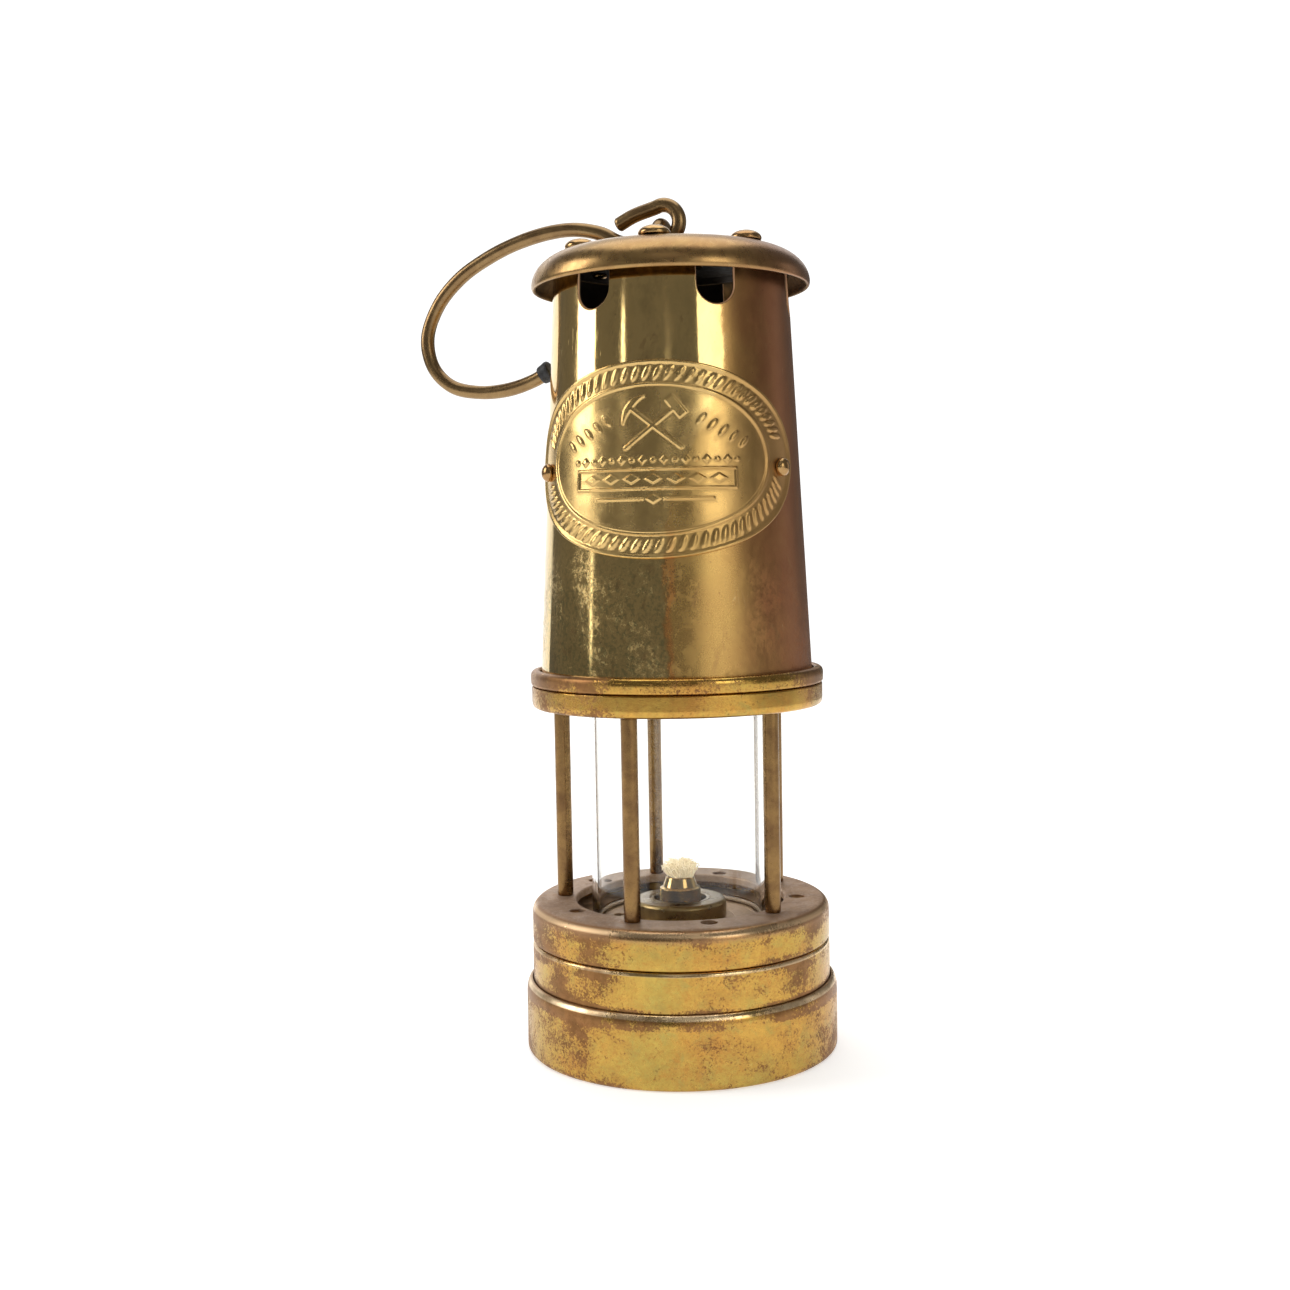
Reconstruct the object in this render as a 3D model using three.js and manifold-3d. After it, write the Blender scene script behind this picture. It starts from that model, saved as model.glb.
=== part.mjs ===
// A brass miner's safety lamp: screwed oil font, pillared glass, double gauze in a slotted bonnet,
// and a hook hung from a swivel eye.
// Millimetres, +Z up. The origin is the centre of the flat underside; the name plate faces -Y.
// Azimuths are in degrees about Z, from the front (-Y) towards +X.
import * as THREE from "three";
import { mergeVertices } from "three/addons/utils/BufferGeometryUtils.js";
import Module from "manifold-3d";

const wasm = await Module();
wasm.setup();

// ---- Driving dimensions ----

const GAP = 0.3; // running or seating gap between neighbouring pieces
const ROUND_SEGMENTS = 36;
const SMALL_SEGMENTS = 12;

const BASE = {
  radius: 44,
  top: 20,
  bore: 42.35,
  floor: 2.7,
  chamfer: 0.8,
  shoulderDrop: 4.4,
  shoulderIn: 1.4,
};

const FONT = {
  radius: 42.05,
  bottom: 3,
  step: 30.6,
  neckRadius: 38.7,
  neckTop: 34.7,
  wall: 1.5,
  stepChamfer: 0.5,
  plateRadius: 38.6,
  plateBottom: 35,
  plateTop: 36,
  ventAzimuth: -100,
  ventOffset: 18,
  ventRadius: 1.5,
};

const COLLAR = { radius: 13, top: 41.5, counterbore: 7.4, counterboreFloor: 38.4, bore: 5.3, chamfer: 0.6 };

const HOLDER = {
  bottom: 33.5,
  shankRadius: 5,
  knurlBottom: 38.8,
  knurlTop: 44.3,
  knurlRadius: 5.9,
  bellBottomRadius: 4.9,
  bellTopRadius: 4,
  top: 47.5,
  bore: 3.35,
};
const WICK_TUBE = { bottom: 30, top: 47.2, outer: 3.05, inner: 2.65 };
const WICK = { bottom: 5, stemTop: 47.2, stemRadius: 2.35, tuftBottom: 47.8, tuftRadius: 4.6, top: 52.8 };

const GLASS = { outer: 25, inner: 23.1, bottom: 37.3, top: 98 };
const GASKET = { thickness: 0.7, overlap: 0.2 };

const LOWER_RING = {
  radius: 42,
  bottom: 30.9,
  bore: 39,
  webBottom: 39.6,
  top: 41.8,
  opening: 29.5,
  shoulderIn: 2.7,
  shoulderDrop: 2.9,
  chamfer: 0.4,
};

const PILLAR = { count: 5, circle: 33, firstAzimuth: -24, radius: 2.25, threadRadius: 1.6, holeRadius: 1.9 };
const AIR_HOLE = { firstAzimuth: 12, radius: 2.25 };
const NUT = { radius: 3.4, height: 2, threadOverhang: 0.6 };

const UPPER_RING = {
  radius: 40.8,
  bottom: 96.6,
  webTop: 99,
  top: 102.6,
  bore: 38.2,
  opening: 25.6,
  corner: 0.9,
};

const BONNET_RING = {
  ledgeInner: 27.8,
  ledgeBottom: 102.5,
  ledgeTop: 103.8,
  spigotInner: 36.9,
  spigotOuter: 37.9,
  spigotBottom: 99.8,
  bottom: 102.9,
  top: 107.2,
  beadRadius: 41.1,
  beadRound: 1.1,
  chamfer: 0.7,
  seat: 38.5,
};

const GAUZE = {
  neckInner: 22,
  neckOuter: 27.4,
  neckBottom: 99.3,
  flangeRadius: 31.5,
  flangeBottom: 104.1,
  flangeTop: 105.2,
  outerRadius: 24.6,
  outerTop: 190,
  innerRadius: 21.6,
  innerTop: 184,
  thickness: 0.6,
  capRadius: 25.7,
  capSkirt: 4,
  capThickness: 0.8,
};

const BONNET = { bottom: 104.1, top: 218, footRadius: 38.08, taper: 0.0503, wall: 1 };
const SLOT = { count: 6, firstAzimuth: -40, width: 10.5, bottom: 203.5 };

const PLATE = {
  azimuth: -9.5,
  height: 163.5,
  halfWidth: 42.5,
  halfHeight: 25.65,
  back: 0.3,
  field: 0.75,
  rim: 1.15,
  innerOval: 0.74,
  rivetAngle: 61,
  rivetHeight: 161.5,
};

const CAP = {
  top: 222,
  flatRadius: 26.6,
  rimRadius: 38.6,
  rimHeight: 212.8,
  thickness: 0.9,
  recessRadius: 8.7,
  recessDepth: 1.4,
  hole: 4.3,
};
const TOP_FLANGE = { inner: 11, flat: 27.6, outer: 31.9, bottom: 219.6, top: 220.8, edgeDrop: 1.4 };
const CAP_RIVET = {
  count: 6,
  firstAzimuth: -10,
  circle: 26,
  headRadius: 4.4,
  headHeight: 2.5,
  shank: 1.6,
  hole: 1.9,
  tailRadius: 2.1,
  tailHeight: 1.1,
};
const PLATE_RIVET = {
  headRadius: 2.5,
  headHeight: 1.6,
  shank: 1.1,
  hole: 1.4,
  tailRadius: 1.9,
  tailHeight: 0.9,
};

const SWIVEL = {
  discRadius: 8.2,
  discTop: 222.2,
  shankRadius: 3.9,
  shankBottom: 215.4,
  washerRadius: 9,
  washerThickness: 1.2,
  nutRadius: 6.5,
  nutHeight: 2,
  wire: 1.9,
  archRadius: 4.5,
  archTop: 232,
  archOffset: 2.2,
};

const HOOK = { azimuth: -112, wire: 2, bendRadius: 4.9, bendOut: 2, bendHeight: 230.6, sleeveRadius: 3 };

// Centre line of the hook in its own upright plane: distance out from the lamp's axis, then height.
const HOOK_FREE_END = [
  [15.7, 231],
  [10.6, 233.3],
];
const HOOK_BEND = { from: 62, to: 268, steps: 8 };
const HOOK_BOW = [
  [8, 225.4],
  [14.7, 226.3],
  [20.6, 229.3],
  [28, 231.1],
  [36, 231.1],
  [46.8, 229.1],
  [56.5, 225.6],
  [66, 220.4],
  [73.4, 213],
  [77.3, 203.8],
  [75.7, 195.4],
  [69.6, 189.3],
  [60, 187],
  [50.5, 187.4],
  [42.6, 189.5],
];
const HOOK_TIP = [38.2, 191.6];
const SLEEVE_END = [36.9, 192.3];
const SLEEVE_START = 0.55; // share of the tip's last straight stretch that stays bare

// ---- Geometry helpers ----

const radians = THREE.MathUtils.degToRad;

function direction(azimuth) {
  return new THREE.Vector3(Math.sin(radians(azimuth)), -Math.cos(radians(azimuth)), 0);
}

function spaced(count, firstAzimuth) {
  return Array.from({ length: count }, (_, i) => firstAzimuth + (i * 360) / count);
}

// A body of revolution about Z from [radius, height] points, listed anticlockwise.
function turned(points, segments = ROUND_SEGMENTS) {
  const onAxis = points[0][0] === 0 && points[points.length - 1][0] === 0;
  const outline = onAxis ? points : [...points, points[0]];
  const profile = outline.map(([radius, height]) => new THREE.Vector2(radius, height));
  return new THREE.LatheGeometry(profile, segments).rotateX(Math.PI / 2);
}

// Points of an elliptical arc round [r, z], with angles in degrees from the radial direction.
function arc(r, z, radiusR, radiusZ, from, to, steps) {
  return Array.from({ length: steps + 1 }, (_, i) => {
    const angle = radians(from + ((to - from) * i) / steps);
    return [r + radiusR * Math.cos(angle), z + radiusZ * Math.sin(angle)];
  });
}

function ring(inner, outer, bottom, top, segments = ROUND_SEGMENTS) {
  const outline = [
    [inner, bottom],
    [outer, bottom],
    [outer, top],
    [inner, top],
  ];
  return turned(outline, segments);
}

function peg(radius, bottom, top, segments = SMALL_SEGMENTS) {
  return new THREE.CylinderGeometry(radius, radius, top - bottom, segments)
    .rotateX(Math.PI / 2)
    .translate(0, 0, (bottom + top) / 2);
}

function placed(geometry, azimuth, circle) {
  const spot = direction(azimuth).multiplyScalar(circle);
  return geometry.rotateZ(radians(azimuth)).translate(spot.x, spot.y, 0);
}

function toSolid(geometry) {
  const bare = geometry.clone();
  bare.deleteAttribute("normal");
  bare.deleteAttribute("uv");
  const merged = mergeVertices(bare, 1e-4);
  const mesh = new wasm.Mesh({
    numProp: 3,
    vertProperties: merged.attributes.position.array,
    triVerts: new Uint32Array(merged.index.array),
  });
  return new wasm.Manifold(mesh);
}

function toGeometry(solid) {
  const mesh = solid.getMesh();
  const geometry = new THREE.BufferGeometry();
  geometry.setAttribute("position", new THREE.BufferAttribute(mesh.vertProperties, 3));
  geometry.setIndex(new THREE.BufferAttribute(mesh.triVerts, 1));
  geometry.computeVertexNormals();
  return geometry;
}

function cut(geometry, tools) {
  return toGeometry(tools.reduce((body, tool) => body.subtract(toSolid(tool)), toSolid(geometry)));
}

function join(geometries) {
  const solids = geometries.map(toSolid);
  return toGeometry(solids.reduce((body, next) => body.add(next)));
}

// A round wire along points in space.
function wire(points, radius, steps, sides) {
  const path = new THREE.CatmullRomCurve3(points, false, "centripetal");
  const section = new THREE.Shape(
    Array.from({ length: sides }, (_, i) => {
      const angle = (2 * Math.PI * i) / sides;
      return new THREE.Vector2(radius * Math.cos(angle), radius * Math.sin(angle));
    }),
  );
  return new THREE.ExtrudeGeometry(section, { extrudePath: path, steps, bevelEnabled: false });
}

const bonnetRadius = (height) => BONNET.footRadius - BONNET.taper * (height - BONNET.bottom);

// ---- Materials ----

const COLOURS = {
  base_brass: ["#9c8442", 0.45, 0.9],
  plate_brass: ["#8f6f58", 0.6, 0.8],
  pillar_brass: ["#96733d", 0.4, 0.95],
  bonnet_brass: ["#b0904a", 0.22, 1],
  cap_brass: ["#94744b", 0.35, 0.95],
  hook_brass: ["#8a6f3e", 0.35, 0.95],
  rivet_brass: ["#b58a4c", 0.25, 1],
  burner_brass: ["#8d7a4a", 0.4, 0.95],
  nut_brass: ["#9a7c40", 0.4, 0.95],
  gauze_wire: ["#5d5348", 0.6, 0.8],
  glass: ["#eef4f4", 0.05, 0],
  gasket: ["#3a3835", 0.9, 0],
  wick_cotton: ["#dccba6", 0.95, 0],
  sleeve_rubber: ["#141416", 0.7, 0],
};

const lamp = new THREE.Group();

function add(parent, name, look, geometry) {
  const [color, roughness, metalness] = COLOURS[look];
  const material = new THREE.MeshStandardMaterial({ color, roughness, metalness });
  if (look === "glass") {
    material.transparent = true;
    material.opacity = 0.3;
  }
  const mesh = new THREE.Mesh(geometry, material);
  mesh.name = name;
  parent.add(mesh);
}

function assembly(name) {
  const group = new THREE.Group();
  group.name = name;
  lamp.add(group);
  return group;
}

// ---- Font: the fuel vessel and its burner seat ----

function addFont() {
  const font = assembly("font_assembly");
  const shoulder = arc(
    BASE.radius - BASE.shoulderIn,
    BASE.top - BASE.shoulderDrop,
    BASE.shoulderIn,
    BASE.shoulderDrop,
    0,
    90,
    3,
  );
  const cup = turned([
    [0, 0],
    [BASE.radius - BASE.chamfer, 0],
    [BASE.radius, BASE.chamfer],
    ...shoulder,
    [BASE.bore, BASE.top],
    [BASE.bore, BASE.floor],
    [0, BASE.floor],
  ]);
  add(font, "base_cup", "base_brass", cup);

  const shell = turned([
    [FONT.radius - FONT.wall, FONT.bottom],
    [FONT.radius, FONT.bottom],
    [FONT.radius, FONT.step - FONT.stepChamfer],
    [FONT.radius - FONT.stepChamfer, FONT.step],
    [FONT.neckRadius, FONT.step],
    [FONT.neckRadius, FONT.neckTop],
    [FONT.neckRadius - FONT.wall, FONT.neckTop],
    [FONT.neckRadius - FONT.wall, FONT.step - FONT.wall],
    [FONT.radius - FONT.wall, FONT.step - FONT.wall],
  ]);
  add(font, "font_shell", "base_brass", shell);

  const disc = ring(COLLAR.bore, FONT.plateRadius, FONT.plateBottom, FONT.plateTop);
  const vent = placed(
    peg(FONT.ventRadius, FONT.plateBottom - 1, FONT.plateTop + 1),
    FONT.ventAzimuth,
    FONT.ventOffset,
  );
  add(font, "font_top_plate", "plate_brass", cut(disc, [vent]));

  const collar = turned(
    [
      [COLLAR.bore, FONT.plateTop + GAP],
      [COLLAR.radius, FONT.plateTop + GAP],
      [COLLAR.radius, COLLAR.top - COLLAR.chamfer],
      [COLLAR.radius - COLLAR.chamfer, COLLAR.top],
      [COLLAR.counterbore, COLLAR.top],
      [COLLAR.counterbore, COLLAR.counterboreFloor],
      [COLLAR.bore, COLLAR.counterboreFloor],
    ],
    24,
  );
  add(font, "burner_collar", "burner_brass", collar);
}

// ---- Wick, its guide tube and the knurled holder ----

function addWick() {
  const burner = assembly("burner_assembly");
  const holder = turned(
    [
      [HOLDER.bore, HOLDER.bottom],
      [HOLDER.shankRadius, HOLDER.bottom],
      [HOLDER.shankRadius, HOLDER.knurlBottom],
      [HOLDER.knurlRadius, HOLDER.knurlBottom],
      [HOLDER.knurlRadius, HOLDER.knurlTop],
      [HOLDER.bellBottomRadius, HOLDER.knurlTop],
      [HOLDER.bellTopRadius, HOLDER.top],
      [HOLDER.bore, HOLDER.top],
    ],
    18,
  );
  add(burner, "wick_holder", "burner_brass", holder);
  const guide = ring(WICK_TUBE.inner, WICK_TUBE.outer, WICK_TUBE.bottom, WICK_TUBE.top, 18);
  add(burner, "wick_tube", "nut_brass", guide);
  const wick = turned(
    [
      [0, WICK.bottom],
      [WICK.stemRadius, WICK.bottom],
      [WICK.stemRadius, WICK.tuftBottom],
      [WICK.tuftRadius * 0.85, WICK.tuftBottom + 0.3],
      [WICK.tuftRadius, WICK.tuftBottom + 2],
      [WICK.tuftRadius * 0.8, WICK.top - 1],
      [WICK.tuftRadius * 0.35, WICK.top],
      [0, WICK.top],
    ],
    SMALL_SEGMENTS,
  );
  add(burner, "wick", "wick_cotton", wick);
}

// ---- Glass and its two seals ----

function addChimney() {
  const chimney = assembly("chimney_assembly");
  const sealInner = GLASS.inner - GASKET.overlap;
  const lowerSealBottom = FONT.plateTop + GAP;
  const upperSealBottom = GLASS.top + GAP;
  const seal = (bottom) => ring(sealInner, GLASS.outer, bottom, bottom + GASKET.thickness);
  add(chimney, "lower_gasket", "gasket", seal(lowerSealBottom));
  add(chimney, "glass_cylinder", "glass", ring(GLASS.inner, GLASS.outer, GLASS.bottom, GLASS.top));
  add(chimney, "upper_gasket", "gasket", seal(upperSealBottom));
}

// ---- Frame: two rings joined by five pillars ----

function hexNut(bottom) {
  const body = peg(NUT.radius, bottom, bottom + NUT.height, 6);
  return cut(body, [peg(PILLAR.holeRadius, bottom - 1, bottom + NUT.height + 1, 12)]);
}

function pillar() {
  const lowerEnd = LOWER_RING.webBottom - GAP - NUT.height - NUT.threadOverhang;
  const upperEnd = UPPER_RING.webTop + GAP + NUT.height + NUT.threadOverhang;
  return turned(
    [
      [0, lowerEnd],
      [PILLAR.threadRadius, lowerEnd],
      [PILLAR.threadRadius, LOWER_RING.top + GAP],
      [PILLAR.radius, LOWER_RING.top + GAP],
      [PILLAR.radius, UPPER_RING.bottom - GAP],
      [PILLAR.threadRadius, UPPER_RING.bottom - GAP],
      [PILLAR.threadRadius, upperEnd],
      [0, upperEnd],
    ],
    SMALL_SEGMENTS,
  );
}

function addFrame() {
  const frame = assembly("frame_assembly");
  const pillarAzimuths = spaced(PILLAR.count, PILLAR.firstAzimuth);
  const drill = (azimuth, radius, height) =>
    placed(peg(radius, height - 4, height + 4, 12), azimuth, PILLAR.circle);

  const lowerRing = turned([
    [LOWER_RING.opening, LOWER_RING.webBottom],
    [LOWER_RING.bore, LOWER_RING.webBottom],
    [LOWER_RING.bore, LOWER_RING.bottom],
    [LOWER_RING.radius - LOWER_RING.chamfer, LOWER_RING.bottom],
    [LOWER_RING.radius, LOWER_RING.bottom + LOWER_RING.chamfer],
    ...arc(
      LOWER_RING.radius - LOWER_RING.shoulderIn,
      LOWER_RING.top - LOWER_RING.shoulderDrop,
      LOWER_RING.shoulderIn,
      LOWER_RING.shoulderDrop,
      0,
      90,
      3,
    ),
    [LOWER_RING.opening, LOWER_RING.top],
  ]);
  const airAzimuths = spaced(PILLAR.count, AIR_HOLE.firstAzimuth);
  const lowerHoles = [
    ...pillarAzimuths.map((azimuth) => drill(azimuth, PILLAR.holeRadius, LOWER_RING.top)),
    ...airAzimuths.map((azimuth) => drill(azimuth, AIR_HOLE.radius, LOWER_RING.top)),
  ];
  add(frame, "lower_ring", "base_brass", cut(lowerRing, lowerHoles));

  const upperRing = turned([
    [UPPER_RING.opening, UPPER_RING.bottom],
    [UPPER_RING.radius - UPPER_RING.corner, UPPER_RING.bottom],
    [UPPER_RING.radius, UPPER_RING.bottom + UPPER_RING.corner],
    [UPPER_RING.radius, UPPER_RING.top],
    [UPPER_RING.bore, UPPER_RING.top],
    [UPPER_RING.bore, UPPER_RING.webTop],
    [UPPER_RING.opening, UPPER_RING.webTop],
  ]);
  const upperHoles = pillarAzimuths.map((azimuth) => drill(azimuth, PILLAR.holeRadius, UPPER_RING.webTop));
  add(frame, "upper_ring", "base_brass", cut(upperRing, upperHoles));

  pillarAzimuths.forEach((azimuth, i) => {
    const lowerNut = hexNut(LOWER_RING.webBottom - GAP - NUT.height);
    const upperNut = hexNut(UPPER_RING.webTop + GAP);
    add(frame, `pillar_${i + 1}`, "pillar_brass", placed(pillar(), azimuth, PILLAR.circle));
    add(frame, `pillar_nut_lower_${i + 1}`, "nut_brass", placed(lowerNut, azimuth, PILLAR.circle));
    add(frame, `pillar_nut_upper_${i + 1}`, "nut_brass", placed(upperNut, azimuth, PILLAR.circle));
  });
}

// ---- Double gauze ----

function gauzeTube(radius, top) {
  const bottom = GAUZE.flangeTop + GAP;
  return turned(
    [
      [radius - GAUZE.thickness, bottom],
      [radius, bottom],
      [radius, top],
      [0, top],
      [0, top - GAUZE.thickness],
      [radius - GAUZE.thickness, top - GAUZE.thickness],
    ],
    24,
  );
}

function addGauze() {
  const gauze = assembly("gauze_assembly");
  const foot = turned([
    [GAUZE.neckInner, GAUZE.neckBottom],
    [GAUZE.neckOuter, GAUZE.neckBottom],
    [GAUZE.neckOuter, GAUZE.flangeBottom],
    [GAUZE.flangeRadius, GAUZE.flangeBottom],
    [GAUZE.flangeRadius, GAUZE.flangeTop],
    [GAUZE.neckInner, GAUZE.flangeTop],
  ]);
  add(gauze, "gauze_base_ring", "nut_brass", foot);
  add(gauze, "gauze_outer", "gauze_wire", gauzeTube(GAUZE.outerRadius, GAUZE.outerTop));
  add(gauze, "gauze_inner", "gauze_wire", gauzeTube(GAUZE.innerRadius, GAUZE.innerTop));
  const crownBottom = GAUZE.outerTop + GAP;
  const crown = turned(
    [
      [0, crownBottom],
      [GAUZE.capRadius - GAUZE.capThickness, crownBottom],
      [GAUZE.capRadius - GAUZE.capThickness, crownBottom - GAUZE.capSkirt],
      [GAUZE.capRadius, crownBottom - GAUZE.capSkirt],
      [GAUZE.capRadius, crownBottom + GAUZE.capThickness],
      [0, crownBottom + GAUZE.capThickness],
    ],
    24,
  );
  add(gauze, "gauze_cap", "nut_brass", crown);
}

// ---- Bonnet: screwed foot ring, slotted shell, name plate and riveted cap ----

function slotTool(azimuth) {
  const half = SLOT.width / 2;
  const shape = new THREE.Shape();
  shape.moveTo(half, BONNET.top + 5);
  shape.lineTo(-half, BONNET.top + 5);
  shape.lineTo(-half, SLOT.bottom + half);
  shape.absarc(0, SLOT.bottom + half, half, Math.PI, 2 * Math.PI, false);
  const through = new THREE.ExtrudeGeometry(shape, { depth: 20, bevelEnabled: false, curveSegments: 6 });
  // The extrusion's depth becomes the radial direction and its height becomes Z.
  through.rotateX(Math.PI / 2);
  return placed(through, azimuth, bonnetRadius(SLOT.bottom) - 10);
}

// A dome rivet along Z: head, shank and the flattened tail beyond the joined sheets.
function domeRivet(size, headBase, tailTop) {
  const dome = arc(0, headBase + 0.4, size.headRadius, size.headHeight - 0.4, 0, 90, 3);
  dome[dome.length - 1][0] = 0;
  return turned(
    [
      [0, tailTop - size.tailHeight],
      [size.tailRadius, tailTop - size.tailHeight],
      [size.tailRadius, tailTop],
      [size.shank, tailTop],
      [size.shank, headBase],
      [size.headRadius - 0.2, headBase],
      ...dome,
    ],
    SMALL_SEGMENTS,
  );
}

// Wraps a flat piece (width along X, height along Y, thickness along Z) round the tapered bonnet.
function wrapOnBonnet(geometry) {
  const position = geometry.getAttribute("position");
  const meanRadius = bonnetRadius(PLATE.height);
  for (let i = 0; i < position.count; i++) {
    const height = PLATE.height + position.getY(i);
    const azimuth = PLATE.azimuth + THREE.MathUtils.radToDeg(position.getX(i) / meanRadius);
    const spot = direction(azimuth).multiplyScalar(bonnetRadius(height) + position.getZ(i));
    position.setXYZ(i, spot.x, spot.y, height);
  }
  return geometry;
}

function plateRivetTool(side, radius, inner, outer) {
  const azimuth = PLATE.azimuth + side * PLATE.rivetAngle;
  const along = peg(radius, inner, outer, 12).rotateX(Math.PI / 2);
  return along.rotateZ(radians(azimuth)).translate(0, 0, PLATE.rivetHeight);
}

function namePlate() {
  const band = 0.03;
  const oval = PLATE.innerOval;
  const flat = (from, to, height, steps) =>
    Array.from({ length: steps + 1 }, (_, i) => [from + ((to - from) * i) / steps, height]);
  const outline = [
    ...flat(0, 1, PLATE.back, 8),
    ...flat(1, 1 - band, PLATE.rim, 1),
    ...flat(1 - band - 0.01, oval + band, PLATE.field, 2),
    ...flat(oval + band - 0.01, oval, PLATE.rim, 1),
    ...flat(oval - 0.01, 0, PLATE.field, 5),
  ];
  const profile = outline.map(([share, height]) => new THREE.Vector2(share, height));
  const plate = new THREE.LatheGeometry(profile, ROUND_SEGMENTS).rotateX(Math.PI / 2);
  plate.scale(PLATE.halfWidth, PLATE.halfHeight, 1);
  return wrapOnBonnet(plate);
}

function addBonnet() {
  const bonnet = assembly("bonnet_assembly");
  const foot = turned([
    [BONNET_RING.ledgeInner, BONNET_RING.ledgeBottom],
    [BONNET_RING.spigotInner, BONNET_RING.ledgeBottom],
    [BONNET_RING.spigotInner, BONNET_RING.spigotBottom],
    [BONNET_RING.spigotOuter, BONNET_RING.spigotBottom],
    [BONNET_RING.spigotOuter, BONNET_RING.bottom],
    [BONNET_RING.beadRadius - BONNET_RING.chamfer, BONNET_RING.bottom],
    [BONNET_RING.beadRadius, BONNET_RING.bottom + BONNET_RING.chamfer],
    ...arc(
      BONNET_RING.beadRadius - BONNET_RING.beadRound,
      BONNET_RING.top - BONNET_RING.beadRound,
      BONNET_RING.beadRound,
      BONNET_RING.beadRound,
      0,
      90,
      2,
    ),
    [BONNET_RING.seat, BONNET_RING.top],
    [BONNET_RING.seat, BONNET_RING.ledgeTop],
    [BONNET_RING.ledgeInner, BONNET_RING.ledgeTop],
  ]);
  add(bonnet, "bonnet_ring", "base_brass", foot);

  const shell = turned([
    [bonnetRadius(BONNET.bottom) - BONNET.wall, BONNET.bottom],
    [bonnetRadius(BONNET.bottom), BONNET.bottom],
    [bonnetRadius(BONNET.top), BONNET.top],
    [bonnetRadius(BONNET.top) - BONNET.wall, BONNET.top],
  ]);
  const sides = [-1, 1];
  const rivetHoles = sides.map((side) => plateRivetTool(side, PLATE_RIVET.hole, 25, 45));
  const slots = spaced(SLOT.count, SLOT.firstAzimuth).map(slotTool);
  add(bonnet, "bonnet_shell", "bonnet_brass", cut(shell, [...slots, ...rivetHoles]));
  add(bonnet, "name_plate", "bonnet_brass", cut(namePlate(), rivetHoles));

  const surface = bonnetRadius(PLATE.rivetHeight);
  sides.forEach((side, i) => {
    const rivet = domeRivet(PLATE_RIVET, surface + PLATE.rim + GAP, surface - BONNET.wall - GAP);
    rivet.rotateX(Math.PI / 2).rotateZ(radians(PLATE.azimuth + side * PLATE.rivetAngle));
    rivet.translate(0, 0, PLATE.rivetHeight);
    add(bonnet, `plate_rivet_${i + 1}`, "rivet_brass", rivet);
  });

  const rivetAzimuths = spaced(CAP_RIVET.count, CAP_RIVET.firstAzimuth);
  const rivetDrills = () =>
    rivetAzimuths.map((azimuth) =>
      placed(peg(CAP_RIVET.hole, TOP_FLANGE.bottom - 2, CAP.top + 2, 12), azimuth, CAP_RIVET.circle),
    );
  // The flange's edge is turned down on to the shell, clear of the cap's curve.
  const edgeBottom = TOP_FLANGE.bottom - TOP_FLANGE.edgeDrop + 0.1;
  const flange = turned([
    [TOP_FLANGE.inner, TOP_FLANGE.bottom],
    [TOP_FLANGE.flat + 0.6, TOP_FLANGE.bottom],
    [TOP_FLANGE.outer - 1, edgeBottom],
    [TOP_FLANGE.outer, edgeBottom],
    [TOP_FLANGE.outer, TOP_FLANGE.top - TOP_FLANGE.edgeDrop],
    [TOP_FLANGE.flat, TOP_FLANGE.top],
    [TOP_FLANGE.inner, TOP_FLANGE.top],
  ]);
  add(bonnet, "top_flange", "nut_brass", cut(flange, rivetDrills()));

  const rimIn = CAP.rimRadius - CAP.flatRadius;
  const rimDown = CAP.top - CAP.rimHeight;
  const thin = CAP.thickness;
  const recessFloor = CAP.top - CAP.recessDepth;
  const dish = turned([
    [CAP.hole, recessFloor - thin],
    [CAP.recessRadius + 0.6, recessFloor - thin],
    [CAP.recessRadius + 1.5, CAP.top - thin],
    ...arc(CAP.flatRadius, CAP.rimHeight, rimIn - thin, rimDown - thin, 90, 0, 4),
    [CAP.rimRadius - 0.2, CAP.rimHeight - 0.2],
    ...arc(CAP.flatRadius, CAP.rimHeight, rimIn, rimDown, 0, 90, 4),
    [CAP.recessRadius + 0.9, CAP.top],
    [CAP.recessRadius, recessFloor],
    [CAP.hole, recessFloor],
  ]);
  add(bonnet, "cap", "cap_brass", cut(dish, rivetDrills()));

  rivetAzimuths.forEach((azimuth, i) => {
    const rivet = domeRivet(CAP_RIVET, CAP.top + GAP, TOP_FLANGE.bottom - GAP);
    add(bonnet, `cap_rivet_${i + 1}`, "rivet_brass", placed(rivet, azimuth, CAP_RIVET.circle));
  });
}

// ---- Swivel eye, and the hook that hangs in it ----

// A point of the hook's upright plane: out along its azimuth, up, and sideways from the plane.
function hookPoint(out, height, sideways = 0) {
  const outward = direction(HOOK.azimuth);
  const side = outward.clone().cross(new THREE.Vector3(0, 0, 1));
  return outward.multiplyScalar(out).addScaledVector(side, sideways).setZ(height);
}

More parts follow.
